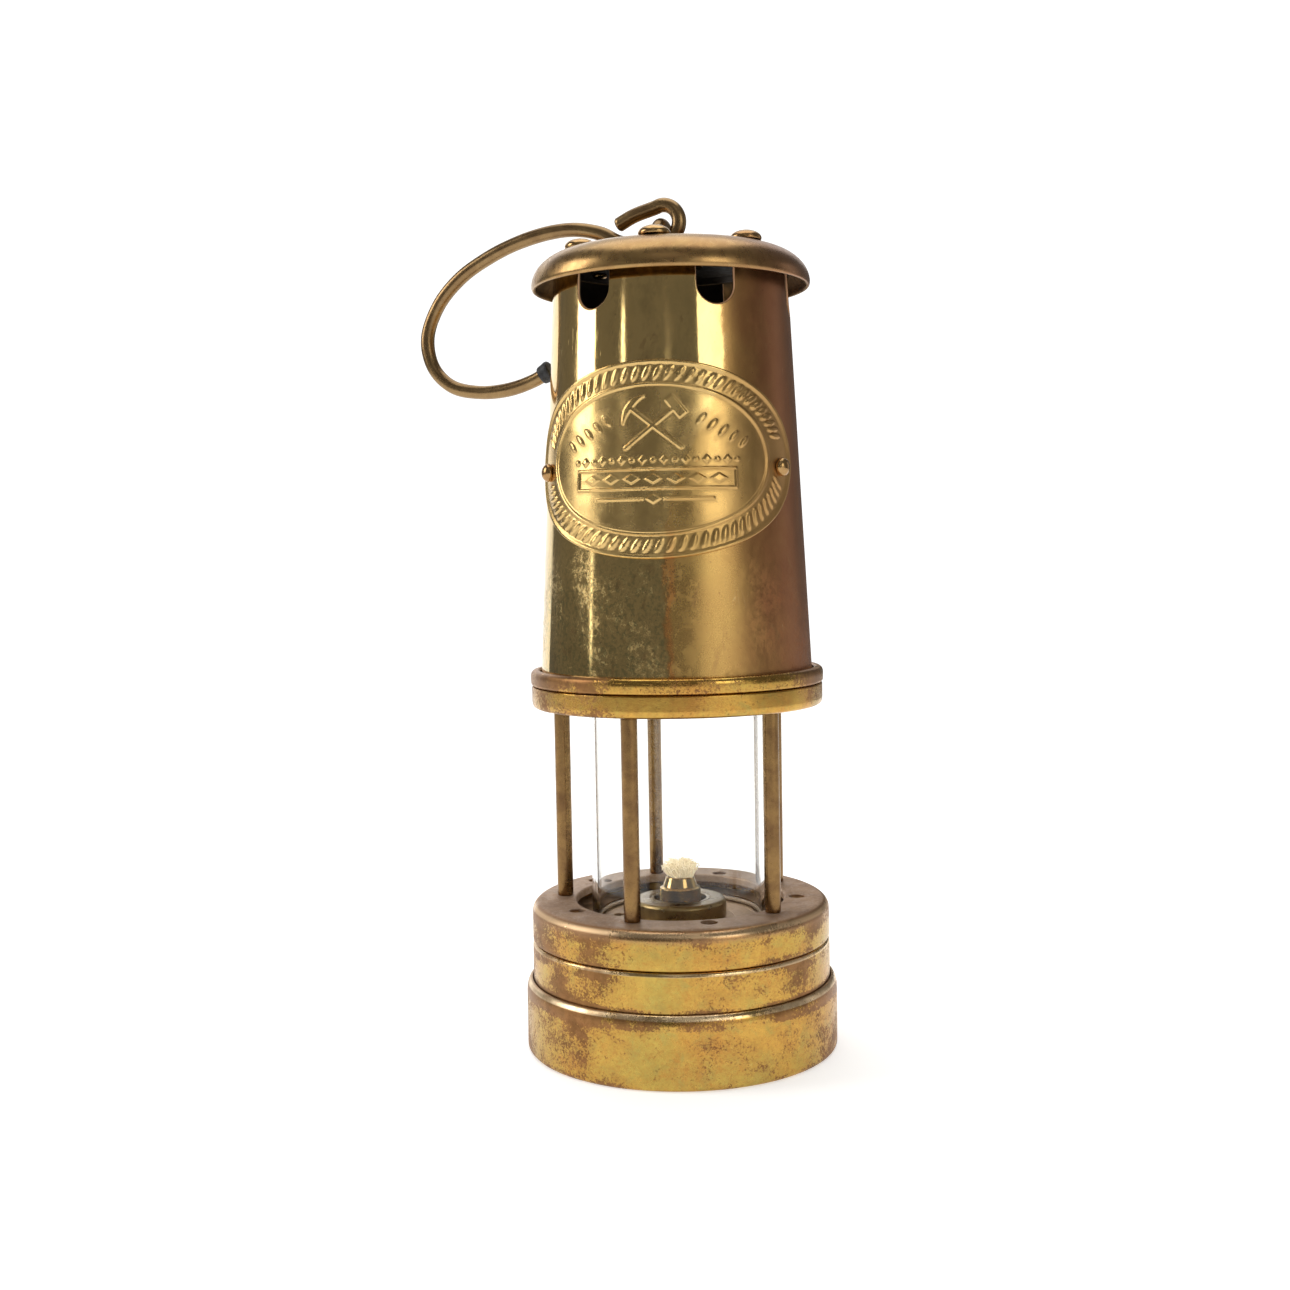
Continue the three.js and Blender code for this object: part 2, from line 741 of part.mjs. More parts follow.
function addSwivel() {
  const swivel = assembly("swivel_assembly");
  const recessFloor = CAP.top - CAP.recessDepth;
  const discBottom = recessFloor + GAP;
  const washerTop = recessFloor - CAP.thickness - GAP;
  const washerBottom = washerTop - SWIVEL.washerThickness;
  const stem = turned(
    [
      [0, SWIVEL.shankBottom],
      [SWIVEL.shankRadius, SWIVEL.shankBottom],
      [SWIVEL.shankRadius, discBottom],
      [SWIVEL.discRadius, discBottom],
      [SWIVEL.discRadius, SWIVEL.discTop],
      [0, SWIVEL.discTop],
    ],
    18,
  );
  const crownHeight = SWIVEL.archTop - SWIVEL.wire - SWIVEL.archRadius;
  const foot = SWIVEL.discTop - 0.6;
  const arch = [
    hookPoint(SWIVEL.archOffset, foot, -SWIVEL.archRadius),
    ...arc(0, crownHeight, SWIVEL.archRadius, SWIVEL.archRadius, 180, 0, 10).map(([sideways, height]) =>
      hookPoint(SWIVEL.archOffset, height, sideways),
    ),
    hookPoint(SWIVEL.archOffset, foot, SWIVEL.archRadius),
  ];
  add(swivel, "swivel_eye", "hook_brass", join([stem, wire(arch, SWIVEL.wire, 16, 8)]));
  const bore = SWIVEL.shankRadius + GAP;
  add(swivel, "swivel_washer", "nut_brass", ring(bore, SWIVEL.washerRadius, washerBottom, washerTop, 18));
  const nutTop = washerBottom - GAP;
  const nut = peg(SWIVEL.nutRadius, nutTop - SWIVEL.nutHeight, nutTop, 6);
  const nutBore = peg(bore, nutTop - SWIVEL.nutHeight - 1, nutTop + 1, 18);
  add(swivel, "swivel_nut", "nut_brass", cut(nut, [nutBore]));
}

function addHook() {
  const hook = assembly("hook_assembly");
  const bend = arc(
    HOOK.bendOut,
    HOOK.bendHeight,
    HOOK.bendRadius,
    HOOK.bendRadius,
    HOOK_BEND.from,
    HOOK_BEND.to,
    HOOK_BEND.steps,
  );
  const route = [...HOOK_FREE_END, ...bend, ...HOOK_BOW, HOOK_TIP];
  const centre = route.map(([out, height]) => hookPoint(out, height));
  add(hook, "hook", "hook_brass", wire(centre, HOOK.wire, 76, 8));

  // The sleeve is a cap over the tip: bored along the wire and closed at its end.
  const tip = hookPoint(...HOOK_TIP);
  const last = hookPoint(...HOOK_BOW[HOOK_BOW.length - 1]);
  const start = last.clone().lerp(tip, SLEEVE_START);
  const end = hookPoint(...SLEEVE_END);
  const length = end.distanceTo(start);
  const depth = tip.distanceTo(start) + GAP;
  const bore = HOOK.wire + GAP;
  const sleeve = turned(
    [
      [bore, 0],
      [HOOK.sleeveRadius, 0],
      [HOOK.sleeveRadius, length],
      [0, length],
      [0, depth],
      [bore, depth],
    ],
    SMALL_SEGMENTS,
  );
  const turn = new THREE.Quaternion().setFromUnitVectors(
    new THREE.Vector3(0, 0, 1),
    end.clone().sub(start).normalize(),
  );
  sleeve.applyQuaternion(turn).translate(start.x, start.y, start.z);
  add(hook, "hook_sleeve", "sleeve_rubber", sleeve);
}

addFont();
addWick();
addChimney();
addFrame();
addGauze();
addBonnet();
addSwivel();
addHook();

export default lamp;
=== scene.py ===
"""The looks of a brass miner's safety lamp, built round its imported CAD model. Lengths are millimetres until a
mesh is made, and azimuths are degrees about Z from the front (-Y) towards +X."""
import math

import bmesh
import bpy
import numpy as np
from mathutils import Matrix, Vector, noise


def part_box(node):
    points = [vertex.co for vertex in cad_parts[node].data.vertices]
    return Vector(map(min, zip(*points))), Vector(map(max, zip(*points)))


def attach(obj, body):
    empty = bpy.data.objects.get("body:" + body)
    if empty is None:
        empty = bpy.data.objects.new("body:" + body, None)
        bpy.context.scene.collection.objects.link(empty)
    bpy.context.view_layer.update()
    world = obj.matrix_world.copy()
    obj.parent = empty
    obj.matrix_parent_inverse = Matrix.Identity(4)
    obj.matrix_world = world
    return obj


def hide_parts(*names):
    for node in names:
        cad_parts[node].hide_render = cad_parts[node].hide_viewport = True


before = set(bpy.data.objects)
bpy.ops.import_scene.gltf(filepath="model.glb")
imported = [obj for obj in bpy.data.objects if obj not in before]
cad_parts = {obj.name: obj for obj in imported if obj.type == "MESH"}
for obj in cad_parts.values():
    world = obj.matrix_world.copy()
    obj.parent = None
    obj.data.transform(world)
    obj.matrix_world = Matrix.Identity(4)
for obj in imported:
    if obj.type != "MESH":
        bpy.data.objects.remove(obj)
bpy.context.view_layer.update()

MM = 0.001
SEGMENTS = 160
SMALL_SEGMENTS = 40

# ---- Places that the frame does not name ----

FONT_STEP = 4.1  # from the font's shoulder to the top of its neck
CAP_FLAT, CAP_SPRING = 26.6, 212.8  # radius of the cap's flat crown, and height where its curve starts
AIR_HOLES = 5
PILLARS = 5
SLOT_COUNT, SLOT_WIDTH, SLOT_BOTTOM = 6, 10.5, 203.5
SLOT_RIMS = (198, 219)  # heights between which the slots' rims carry a painted copper highlight
PLATE_AZIMUTH = -9.5
PLATE_HALF_WIDTH = 42.5  # along the curve
SLOT_FIRST = -40
HOOK_AZIMUTH = -112
HOOK_FREE_END = [(15.7, 231), (10.6, 233.3)]
HOOK_BOW = [
    (8, 225.4), (14.7, 226.3), (20.6, 229.3), (28, 231.1), (36, 231.1), (46.8, 229.1),
    (56.5, 225.6), (66, 220.4), (73.4, 213), (77.3, 203.8), (75.7, 195.4), (69.6, 189.3), (60, 187),
    (50.5, 187.4), (42.6, 189.5),
]
HOOK_TIP = (38.2, 191.6)
SLEEVE_END = (36.9, 192.3)


# ---- Camera, light and floor ----

CAMERA_PLACE = (-8.8, -435.9, 140.9)
CAMERA_PITCH = 3.614
CAMERA_ROLL = -1.015
CAMERA_LENS = 43.24
LIGHT_TARGET = (0, 0, 125)

# Name: azimuth, elevation, distance, width, height, radiance, colour.
SOFTBOXES = {
    "window_left": (-88, 24, 1500, 600, 860, 5.4, (1.0, 0.99, 0.96)),
    "gap_left": (-77, 4.5, 1500, 62, 230, 2.8, (1.0, 0.99, 0.95)),
    "wall_left": (-160, 12, 1500, 1300, 1100, 1.2, (0.98, 0.99, 1.0)),
    "leaf_left": (-46, 14.6, 1500, 85, 90, 3.4, (1.0, 0.99, 0.95)),
    "leaf_front": (-4, 12.8, 1500, 130, 60, 3.4, (1.0, 0.98, 0.9)),
    "window_front": (-5, 42, 1500, 560, 460, 0.4, (1.0, 0.98, 0.93)),
    "window_right": (36, 19, 1500, 640, 600, 2.5, (1.0, 0.98, 0.88)),
    "panel_right": (38, 0, 1500, 1150, 430, 0.62, (1.0, 0.96, 0.88)),
    "panel_far_right": (112, 10, 1500, 500, 900, 0.45, (1.0, 0.95, 0.92)),
    "top": (180, 79, 1300, 1200, 1200, 1.9, (1.0, 1.0, 1.0)),
    "back": (180, 35, 1500, 1400, 900, 0.75, (1.0, 1.0, 1.0)),
}
ROOM_LIGHT = 0.16
FLOOR_RADIUS = 0.95
FLOOR_GLOW = 0.52


def toward(azimuth, elevation=0.0):
    a, e = math.radians(azimuth), math.radians(elevation)
    return Vector((math.sin(a) * math.cos(e), -math.cos(a) * math.cos(e), math.sin(e)))


def link(obj):
    bpy.context.scene.collection.objects.link(obj)
    return obj


def make_camera():
    pitch, roll = math.radians(CAMERA_PITCH), math.radians(CAMERA_ROLL)
    forward = Vector((0, math.cos(pitch), -math.sin(pitch)))
    level_up = Vector((0, math.sin(pitch), math.cos(pitch)))
    level_right = Vector((1, 0, 0))
    right = level_right * math.cos(roll) + level_up * math.sin(roll)
    up = level_up * math.cos(roll) - level_right * math.sin(roll)
    data = bpy.data.cameras.new("camera")
    data.lens = CAMERA_LENS
    data.sensor_width = 36
    camera = link(bpy.data.objects.new("camera", data))
    turn = Matrix((right, up, -forward)).transposed().to_4x4()
    camera.matrix_world = Matrix.Translation(Vector(CAMERA_PLACE) * MM) @ turn
    bpy.context.scene.camera = camera


def make_softbox(name, azimuth, elevation, distance, width, height, radiance, colour):
    data = bpy.data.lights.new(name, "AREA")
    data.shape = "RECTANGLE"
    data.size = width * MM
    data.size_y = height * MM
    data.energy = math.pi * radiance * data.size * data.size_y
    data.color = colour
    light = link(bpy.data.objects.new(name, data))
    out = toward(azimuth, elevation)
    light.location = (Vector(LIGHT_TARGET) + out * distance) * MM
    light.rotation_mode = "QUATERNION"
    light.rotation_quaternion = out.to_track_quat("Z", "Y")
    light.visible_camera = False


def make_room():
    """White behind the object and through its glass, and a dim grey room in its reflections."""
    world = bpy.data.worlds.new("room")
    world.use_nodes = True
    tree = world.node_tree
    seen = tree.nodes["Background"]
    seen.inputs["Color"].default_value = (1, 1, 1, 1)
    seen.inputs["Strength"].default_value = 1.2
    lit = tree.nodes.new("ShaderNodeBackground")
    lit.inputs["Color"].default_value = (1, 0.97, 0.91, 1)
    lit.inputs["Strength"].default_value = ROOM_LIGHT
    path = tree.nodes.new("ShaderNodeLightPath")
    straight = tree.nodes.new("ShaderNodeMath")
    straight.operation = "LESS_THAN"
    straight.inputs[1].default_value = 0.5
    through = tree.nodes.new("ShaderNodeMath")
    through.operation = "MULTIPLY"
    clear = tree.nodes.new("ShaderNodeMath")
    clear.operation = "MAXIMUM"
    tree.links.new(path.outputs["Glossy Depth"], straight.inputs[0])
    tree.links.new(straight.outputs[0], through.inputs[0])
    tree.links.new(path.outputs["Is Transmission Ray"], through.inputs[1])
    tree.links.new(path.outputs["Is Camera Ray"], clear.inputs[0])
    tree.links.new(through.outputs[0], clear.inputs[1])
    mix = tree.nodes.new("ShaderNodeMixShader")
    tree.links.new(clear.outputs[0], mix.inputs[0])
    tree.links.new(lit.outputs[0], mix.inputs[1])
    tree.links.new(seen.outputs[0], mix.inputs[2])
    tree.links.new(mix.outputs[0], tree.nodes["World Output"].inputs["Surface"])
    bpy.context.scene.world = world
    bpy.context.scene.view_settings.view_transform = "Standard"


def make_floor():
    """A round of white paper that gives off a little light of its own, so that it stays white to its edge."""
    mesh = bpy.data.meshes.new("floor")
    work = bmesh.new()
    bmesh.ops.create_circle(work, cap_ends=True, radius=FLOOR_RADIUS, segments=96)
    work.to_mesh(mesh)
    work.free()
    floor = link(bpy.data.objects.new("floor", mesh))
    floor.location.z = -0.00005
    look = Look("floor_paper")
    grain = look.noise(0.08, detail=2)
    look.colour(look.mix(grain, (0.93, 0.93, 0.93), (0.96, 0.96, 0.955)))
    look.set(Roughness=0.9, Emission_Color=(1, 1, 1, 1), Emission_Strength=FLOOR_GLOW)
    mesh.materials.append(look.material)


# ---- Materials ----

DIRTY_AZIMUTH = 78  # the side of the bonnet and cap that has gone red-brown


class Look:
    """A procedural material under construction. Texture coordinates are the object's own, in millimetres."""

    def __init__(self, name):
        self.material = bpy.data.materials.new(name)
        self.material.use_nodes = True
        self.tree = self.material.node_tree
        self.shader = self.tree.nodes["Principled BSDF"]
        self.mm = self.scaled(self.node("ShaderNodeTexCoord").outputs["Object"], 1 / MM)

    def node(self, kind, **settings):
        made = self.tree.nodes.new(kind)
        for key, value in settings.items():
            setattr(made, key, value)
        return made

    def feed(self, socket, value):
        if isinstance(value, bpy.types.NodeSocket):
            self.tree.links.new(value, socket)
        elif isinstance(value, tuple) and len(value) == 3 and socket.type == "RGBA":
            socket.default_value = (*value, 1)
        else:
            socket.default_value = value

    def set(self, **values):
        for key, value in values.items():
            self.shader.inputs[key.replace("_", " ")].default_value = value

    def colour(self, socket):
        self.feed(self.shader.inputs["Base Color"], socket)

    def rough(self, socket):
        self.feed(self.shader.inputs["Roughness"], socket)

    def scaled(self, vector, factor):
        made = self.node("ShaderNodeVectorMath", operation="MULTIPLY")
        self.feed(made.inputs[0], vector)
        made.inputs[1].default_value = factor if isinstance(factor, tuple) else (factor,) * 3
        return made.outputs[0]

    def maths(self, operation, a, b=0.0):
        made = self.node("ShaderNodeMath", operation=operation)
        self.feed(made.inputs[0], a)
        self.feed(made.inputs[1], b)
        return made.outputs[0]

    def plus(self, a, b):
        return self.maths("ADD", a, b)

    def minus(self, a, b):
        return self.maths("SUBTRACT", a, b)

    def times(self, a, b):
        return self.maths("MULTIPLY", a, b)

    def tint(self, colour, mask, other, amount):
        """The colour with another one mixed in where the mask is, by that amount."""
        return self.mix(self.times(mask, amount), colour, other)

    def cloud(self, low, high, *noise, to=(0.0, 1.0), **settings):
        """A noise with its contrast raised: 0 below low, 1 above high."""
        return self.ramp(self.noise(*noise, **settings), low, high, *to)

    def current(self, name):
        """What already feeds that input of the shader."""
        return self.shader.inputs[name].links[0].from_socket

    def recess(self):
        """1 in the depths of a mesh whose points carry that attribute."""
        return self.node("ShaderNodeAttribute", attribute_name="recess").outputs["Fac"]

    def noise(self, scale, detail=3.0, rough=0.55, stretch=(1, 1, 1), warp=0.0, source=None):
        made = self.node("ShaderNodeTexNoise")
        self.feed(made.inputs["Vector"], self.scaled(source or self.mm, stretch))
        made.inputs["Scale"].default_value = scale
        made.inputs["Detail"].default_value = detail
        made.inputs["Roughness"].default_value = rough
        made.inputs["Distortion"].default_value = warp
        return made.outputs["Fac"]

    def ramp(self, value, low, high, to_low=0.0, to_high=1.0):
        made = self.node("ShaderNodeMapRange", interpolation_type="SMOOTHSTEP")
        self.feed(made.inputs["Value"], value)
        for key, number in (("From Min", low), ("From Max", high), ("To Min", to_low), ("To Max", to_high)):
            made.inputs[key].default_value = number
        return made.outputs["Result"]

    def mix(self, share, a, b):
        made = self.node("ShaderNodeMix", data_type="RGBA")
        self.feed(made.inputs[0], share)
        self.feed(made.inputs[6], a)
        self.feed(made.inputs[7], b)
        return made.outputs[2]

    def split(self):
        made = self.node("ShaderNodeSeparateXYZ")
        self.feed(made.inputs[0], self.mm)
        return made.outputs

    def height(self):
        return self.split()[2]

    def reach(self):
        """Distance from the lamp's axis."""
        x, y, _ = self.split()
        return self.maths("SQRT", self.plus(self.times(x, x), self.times(y, y)))

    def round_coords(self, radius):
        """Arc length round Z at that radius, and height, so that marks follow the turned surface."""
        x, y, z = self.split()
        arc = self.times(self.maths("ARCTAN2", x, self.times(y, -1.0)), radius)
        made = self.node("ShaderNodeCombineXYZ")
        self.feed(made.inputs[0], arc)
        self.feed(made.inputs[1], z)
        return made.outputs[0]

    def facing(self, azimuth):
        """Cosine of the angle round the lamp's axis between the surface point and that azimuth."""
        made = self.node("ShaderNodeVectorMath", operation="DOT_PRODUCT")
        flat = self.node("ShaderNodeVectorMath", operation="NORMALIZE")
        self.feed(flat.inputs[0], self.scaled(self.mm, (1, 1, 0)))
        self.feed(made.inputs[0], flat.outputs[0])
        made.inputs[1].default_value = toward(azimuth)
        return made.outputs["Value"]

    def side_mask(self, azimuth, low, high, ragged=0.25):
        """1 on the side of the lamp that faces that azimuth, with a ragged edge."""
        edge = self.times(self.minus(self.noise(0.05, 5, 0.6), 0.5), ragged * 2)
        return self.ramp(self.plus(self.facing(azimuth), edge), low, high)

    def band(self, low, high, soft=0.4):
        """1 between two heights."""
        z = self.height()
        return self.times(self.ramp(z, low - soft, low + soft), self.ramp(z, high + soft, high - soft))

    def bump(self, height, distance, strength=1.0):
        made = self.node("ShaderNodeBump")
        made.inputs["Distance"].default_value = distance * MM
        made.inputs["Strength"].default_value = strength
        self.feed(made.inputs["Height"], height)
        if self.shader.inputs["Normal"].is_linked:
            self.feed(made.inputs["Normal"], self.current("Normal"))
        self.feed(self.shader.inputs["Normal"], made.outputs[0])


def scratches(look, scale, stretch, low, high):
    """Hairlines: where a noise that is much stretched along one direction crosses its middle value."""
    lines = look.noise(scale, 1, 0.3, stretch, 0.15)
    near_crest = look.maths("ABSOLUTE", look.minus(lines, 0.5))
    where = look.cloud(low, high, 0.07, 4, 0.6)
    return look.times(look.ramp(near_crest, 0.008, 0.0), where)


def aged_brass(name, bands, rough=(0.27, 0.36), painted_highlights=()):
    """Unlacquered turned brass: olive to orange gold, with orange blotches, dark specks and hairlines.
    Red-brown patina with bare flecks is heaviest at the sides and in bands (low, high, push). Painted
    highlight bands (low, high, share) are tinted pale cream and made a little smoother."""
    look = Look(name)
    hue = look.cloud(0.36, 0.64, 0.035, 5, 0.6, warp=0.6)
    gold = look.mix(hue, (0.54, 0.39, 0.092), (0.64, 0.365, 0.08))
    gold = look.mix(look.cloud(0.4, 0.7, 0.3, 5, 0.65, to=(0.0, 0.4)), gold, (0.42, 0.25, 0.065))
    gold = look.tint(gold, look.cloud(0.5, 0.64, 0.085, 7, 0.76, warp=0.3), (0.54, 0.25, 0.06), 0.6)
    gold = look.tint(gold, look.cloud(0.5, 0.62, 0.9, 6, 0.8), (0.40, 0.19, 0.045), 0.45)
    gold = look.tint(gold, look.cloud(0.5, 0.66, 0.16, 6, 0.7, warp=0.4), (0.40, 0.33, 0.095), 0.6)
    gold = look.tint(gold, look.cloud(0.36, 0.66, 0.1, 5, 0.65, (1, 1, 1.8)), (0.36, 0.225, 0.055), 0.32)
    lines = scratches(look, 0.09, (1, 1.6, 9), 0.52, 0.66)
    gold = look.tint(gold, lines, (0.85, 0.66, 0.26), 0.3)

    field = look.noise(0.06, 9, 0.7, (1, 1, 1.25), 0.35)
    left = look.side_mask(-68, 0.5, 1.0, 0.1)
    right = look.side_mask(88, 0.4, 1.0, 0.12)
    field = look.plus(field, look.times(left, 0.15))
    field = look.plus(field, look.times(right, 0.12))
    rubbed = 0.0
    for low, high, push in bands:
        zone = look.band(low, high, 0.6)
        field = look.plus(field, look.times(zone, push))
        rubbed = look.plus(rubbed, look.times(zone, push * -0.8))
    flecks = look.noise(1.5, 5, 0.75)
    field = look.plus(field, look.times(look.minus(flecks, 0.5), 0.7))
    patina = look.ramp(field, 0.60, 0.70)
    brown = look.mix(look.cloud(0.35, 0.65, 0.22, 6, 0.7), (0.165, 0.07, 0.034), (0.28, 0.13, 0.058))
    colour = look.mix(look.times(patina, 0.85), gold, brown)
    halo = look.minus(look.ramp(field, 0.48, 0.6), patina)
    colour = look.tint(colour, halo, (0.46, 0.22, 0.06), 0.35)

    dots = look.times(look.cloud(0.57, 0.64, 1.3, 4, 0.7), look.cloud(0.46, 0.6, 0.09, 6, 0.7))
    colour = look.tint(colour, dots, (0.17, 0.075, 0.03), 0.75)
    # Painted highlight: thin pale cream lines just under the shoulders, where the curve would catch the light.
    for low, high, share in painted_highlights:
        paler_patch = look.times(look.band(low, high, 0.2), look.cloud(0.35, 0.55, 0.08, 5, 0.6, to=(0.3, 1)))
        colour = look.tint(colour, paler_patch, (0.98, 0.76, 0.48), share)
        rubbed = look.plus(rubbed, look.times(paler_patch, -0.06))
    look.colour(colour)
    dullness = look.plus(look.times(patina, 0.7), look.times(look.noise(0.7, 4), 0.4))
    look.rough(look.plus(look.ramp(dullness, 0.1, 1.0, rough[0], rough[1] + 0.16), rubbed))
    look.set(Metallic=1.0)
    look.bump(look.noise(2.2, 4, 0.6), 0.008)
    look.bump(look.times(patina, look.noise(1.2, 4, 0.7)), 0.02)
    look.bump(lines, -0.01)
    return look


def sooty_inside(look, colour, shine, inside, light=(0.07, 0.05, 0.03)):
    """Mixes dull soot into the surfaces where the mask is 1, and feeds colour and roughness to the shader."""
    soot = look.mix(look.noise(0.3, 5), (0.02, 0.017, 0.014), light)
    look.colour(look.mix(inside, colour, soot))
    look.rough(look.plus(shine, look.times(inside, 0.5)))


def polished_brass(name, relief=False):
    """The bonnet's spun brass: mirror bright on the left, a dull film beyond a tide line, and red-brown at
    the far right. With relief it is the name plate's brass, with dirt in the recesses."""
    look = Look(name)
    z = look.height()
    upper = look.ramp(z, 140, 196)
    ragged = look.times(look.minus(look.noise(0.045, 8, 0.7, (1, 1, 0.6)), 0.5), 0.5)
    facing = look.plus(look.facing(84), look.times(upper, -0.5))
    shore = look.plus(facing, look.times(ragged, 0.8))
    film = look.ramp(shore, -0.01, 0.03)
    tide = look.times(look.times(film, look.ramp(shore, 0.075, 0.03)), look.ramp(z, 160, 130))
    tarnish = look.ramp(look.plus(look.facing(DIRTY_AZIMUTH), ragged), 0.42, 0.95)
    veil = look.cloud(0.42, 0.72, 0.05, 6, 0.65, (1, 1, 0.5), 0.5)
    mirror = look.mix(veil, (0.82, 0.58, 0.24), (0.62, 0.45, 0.19))
    speckle = look.cloud(0.46, 0.6, 0.8, 6, 0.8)
    lower = look.ramp(z, 150, 125)
    speckle = look.times(speckle, look.times(lower, look.minus(1.0, film)))
    mirror = look.tint(mirror, speckle, (0.34, 0.31, 0.14), 0.65)
    smudge = look.cloud(0.47, 0.64, 0.13, 7, 0.75, (1, 1, 0.6), 0.3)
    mirror = look.tint(mirror, smudge, (0.50, 0.35, 0.15), 0.45)
    filmed = look.mix(look.noise(0.08, 5, 0.6), (0.62, 0.41, 0.135), (0.50, 0.29, 0.10))
    colour = look.mix(film, mirror, filmed)
    colour = look.tint(colour, tide, (0.56, 0.25, 0.08), 0.8)
    red = look.mix(look.noise(0.12, 5, 0.6), (0.38, 0.175, 0.075), (0.27, 0.105, 0.05))
    colour = look.mix(tarnish, colour, red)
    blotches = look.cloud(0.57, 0.68, 0.16, 6, 0.7, (1, 1, 0.7), 0.6)
    colour = look.tint(colour, blotches, (0.36, 0.20, 0.085), 0.4)
    colour = look.tint(colour, look.cloud(0.69, 0.74, 0.9, 3, 0.6), (0.22, 0.10, 0.05), 0.6)
    marks = scratches(look, 0.045, (9, 7, 1), 0.56, 0.7)
    colour = look.tint(colour, marks, (0.9, 0.7, 0.4), 0.3)
    smear = look.times(look.noise(0.12, 5, 0.6, (1, 1, 0.25)), 0.14)
    shine = look.plus(look.times(film, 0.17), look.times(tarnish, 0.12))
    shine = look.plus(look.plus(shine, smear), look.times(smudge, 0.07))
    haze = look.cloud(0.44, 0.62, 0.06, 8, 0.8, (1, 1, 0.7))
    haze = look.times(look.times(haze, lower), look.cloud(0.4, 0.6, 0.7, 6, 0.8))
    shine = look.plus(shine, look.times(haze, 0.3))
    if relief:
        dirt = look.recess()
        colour = look.mix(0.45, colour, (0.66, 0.44, 0.165))
        colour = look.tint(colour, dirt, (0.36, 0.22, 0.085), 0.3)
        shine = look.maths("MAXIMUM", shine, look.cloud(0.35, 0.65, 0.1, 6, 0.7, to=(0.2, 0.3)))
        shine = look.plus(shine, look.times(dirt, 0.06))
        look.bump(look.times(look.noise(2.2, 4, 0.6), dirt), 0.02)
    taper = (BONNET_FOOT[0] - BONNET_HEAD[0]) / (BONNET_HEAD[1] - BONNET_FOOT[1])
    # Distance from the axis, taken down the taper to the foot, so that the skin lies at one radius.
    reach = look.plus(look.reach(), look.times(look.minus(z, BONNET_FOOT[1]), taper))
    skin = BONNET_FOOT[0]
    inside = look.ramp(reach, skin - 0.55, skin - 0.85)
    look.set(Metallic=1.0)
    if not relief:
        # Painted highlight: the slots' rims are tinted light copper, rougher and less metallic, so they stay
        # bright.
        edge = look.times(look.ramp(reach, skin - 0.06, skin - 0.16), look.band(*SLOT_RIMS))
        colour = look.tint(colour, edge, (0.88, 0.50, 0.28), 0.85)
        shine = look.plus(shine, look.times(edge, 0.3))
        look.feed(look.shader.inputs["Metallic"], look.ramp(edge, 0, 1, 1.0, 0.2))
    sooty_inside(look, colour, shine, inside)
    look.bump(look.noise(0.25, 4, 0.5, (1, 1, 0.5)), 0.02)
    look.bump(look.times(look.noise(1.5, 4, 0.55), film), 0.004)
    look.bump(marks, -0.008)
    return look


# Look: light, clouded and pit colours, least and most roughness, depth of the grain, strength of the pits.
SATIN = {
    "pillar_brass": ((0.27, 0.16, 0.062), (0.165, 0.09, 0.04), (0.08, 0.04, 0.02), (0.2, 0.3), 0.004, 0.6),
    "cap_brass": ((0.40, 0.25, 0.10), (0.33, 0.19, 0.078), (0.26, 0.14, 0.06), (0.25, 0.34), 0.0015, 0.3),
    "hook_brass": ((0.30, 0.195, 0.09), (0.22, 0.135, 0.064), (0.16, 0.09, 0.045), (0.27, 0.36), 0.0012, 0.25),
    "rivet_brass": ((0.46, 0.29, 0.12), (0.36, 0.20, 0.085), (0.2, 0.10, 0.05), (0.17, 0.28), 0.004, 0.6),
    "burner_brass": ((0.37, 0.27, 0.125), (0.26, 0.175, 0.085), (0.12, 0.075, 0.04), (0.25, 0.42), 0.004, 0.6),
    "holder_brass": ((0.58, 0.40, 0.165), (0.40, 0.26, 0.105), (0.18, 0.10, 0.05), (0.12, 0.22), 0.004, 0.6),
    "nut_brass": ((0.50, 0.36, 0.16), (0.38, 0.26, 0.12), (0.22, 0.14, 0.07), (0.26, 0.45), 0.004, 0.6),
}


def satin_brass(name):
    """Handled brass: a soft even shine with brown clouds and tiny pits."""
    light, clouded, pit, rough, grain, pitted = SATIN[name]
    look = Look(name)
    colour = look.mix(look.cloud(0.35, 0.7, 0.12, 6, 0.65, warp=0.5), light, clouded)
    colour = look.tint(colour, look.cloud(0.62, 0.72, 2.4, 3, 0.6), pit, pitted)
    look.colour(colour)
    look.rough(look.cloud(0.3, 0.7, 0.5, 5, 0.6, to=rough))
    look.set(Metallic=1.0)
    look.bump(look.noise(1.6, 4, 0.6), grain)
    return look


def cap_brass():
    """Satin bronze-coloured brass, redder on the right, with a sooty underside."""
    look = satin_brass("cap_brass")
    side = look.side_mask(DIRTY_AZIMUTH, 0.45, 0.98, 0.2)
    earlier = look.current("Base Color")
    colour = look.mix(look.times(side, 0.75), earlier, (0.29, 0.13, 0.07))
    dusty = look.cloud(0.55, 0.72, 0.7, 5, 0.7, to=(0.0, 0.12))
    colour = look.mix(dusty, colour, (0.52, 0.40, 0.26))
    marks = scratches(look, 0.06, (1, 7, 4), 0.54, 0.68)
    colour = look.tint(colour, marks, (0.7, 0.52, 0.28), 0.3)
    rim, _, top = extent("cap")
    z = look.height()
    reach = look.reach()
    out = look.maths("DIVIDE", look.maths("MAXIMUM", look.minus(reach, CAP_FLAT), 0.0), rim - CAP_FLAT)
    up = look.maths("DIVIDE", look.maths("MAXIMUM", look.minus(z, CAP_SPRING), 0.0), top - CAP_SPRING)
    depth = look.plus(look.times(out, out), look.times(up, up))
    inside = look.ramp(depth, 0.93, 0.88)
    shine = look.current("Roughness")
    lip = look.mix(look.ramp(reach, 33.5, 36.5), (0.05, 0.035, 0.02), (0.42, 0.27, 0.13))
    sooty_inside(look, colour, shine, inside, lip)
    return look


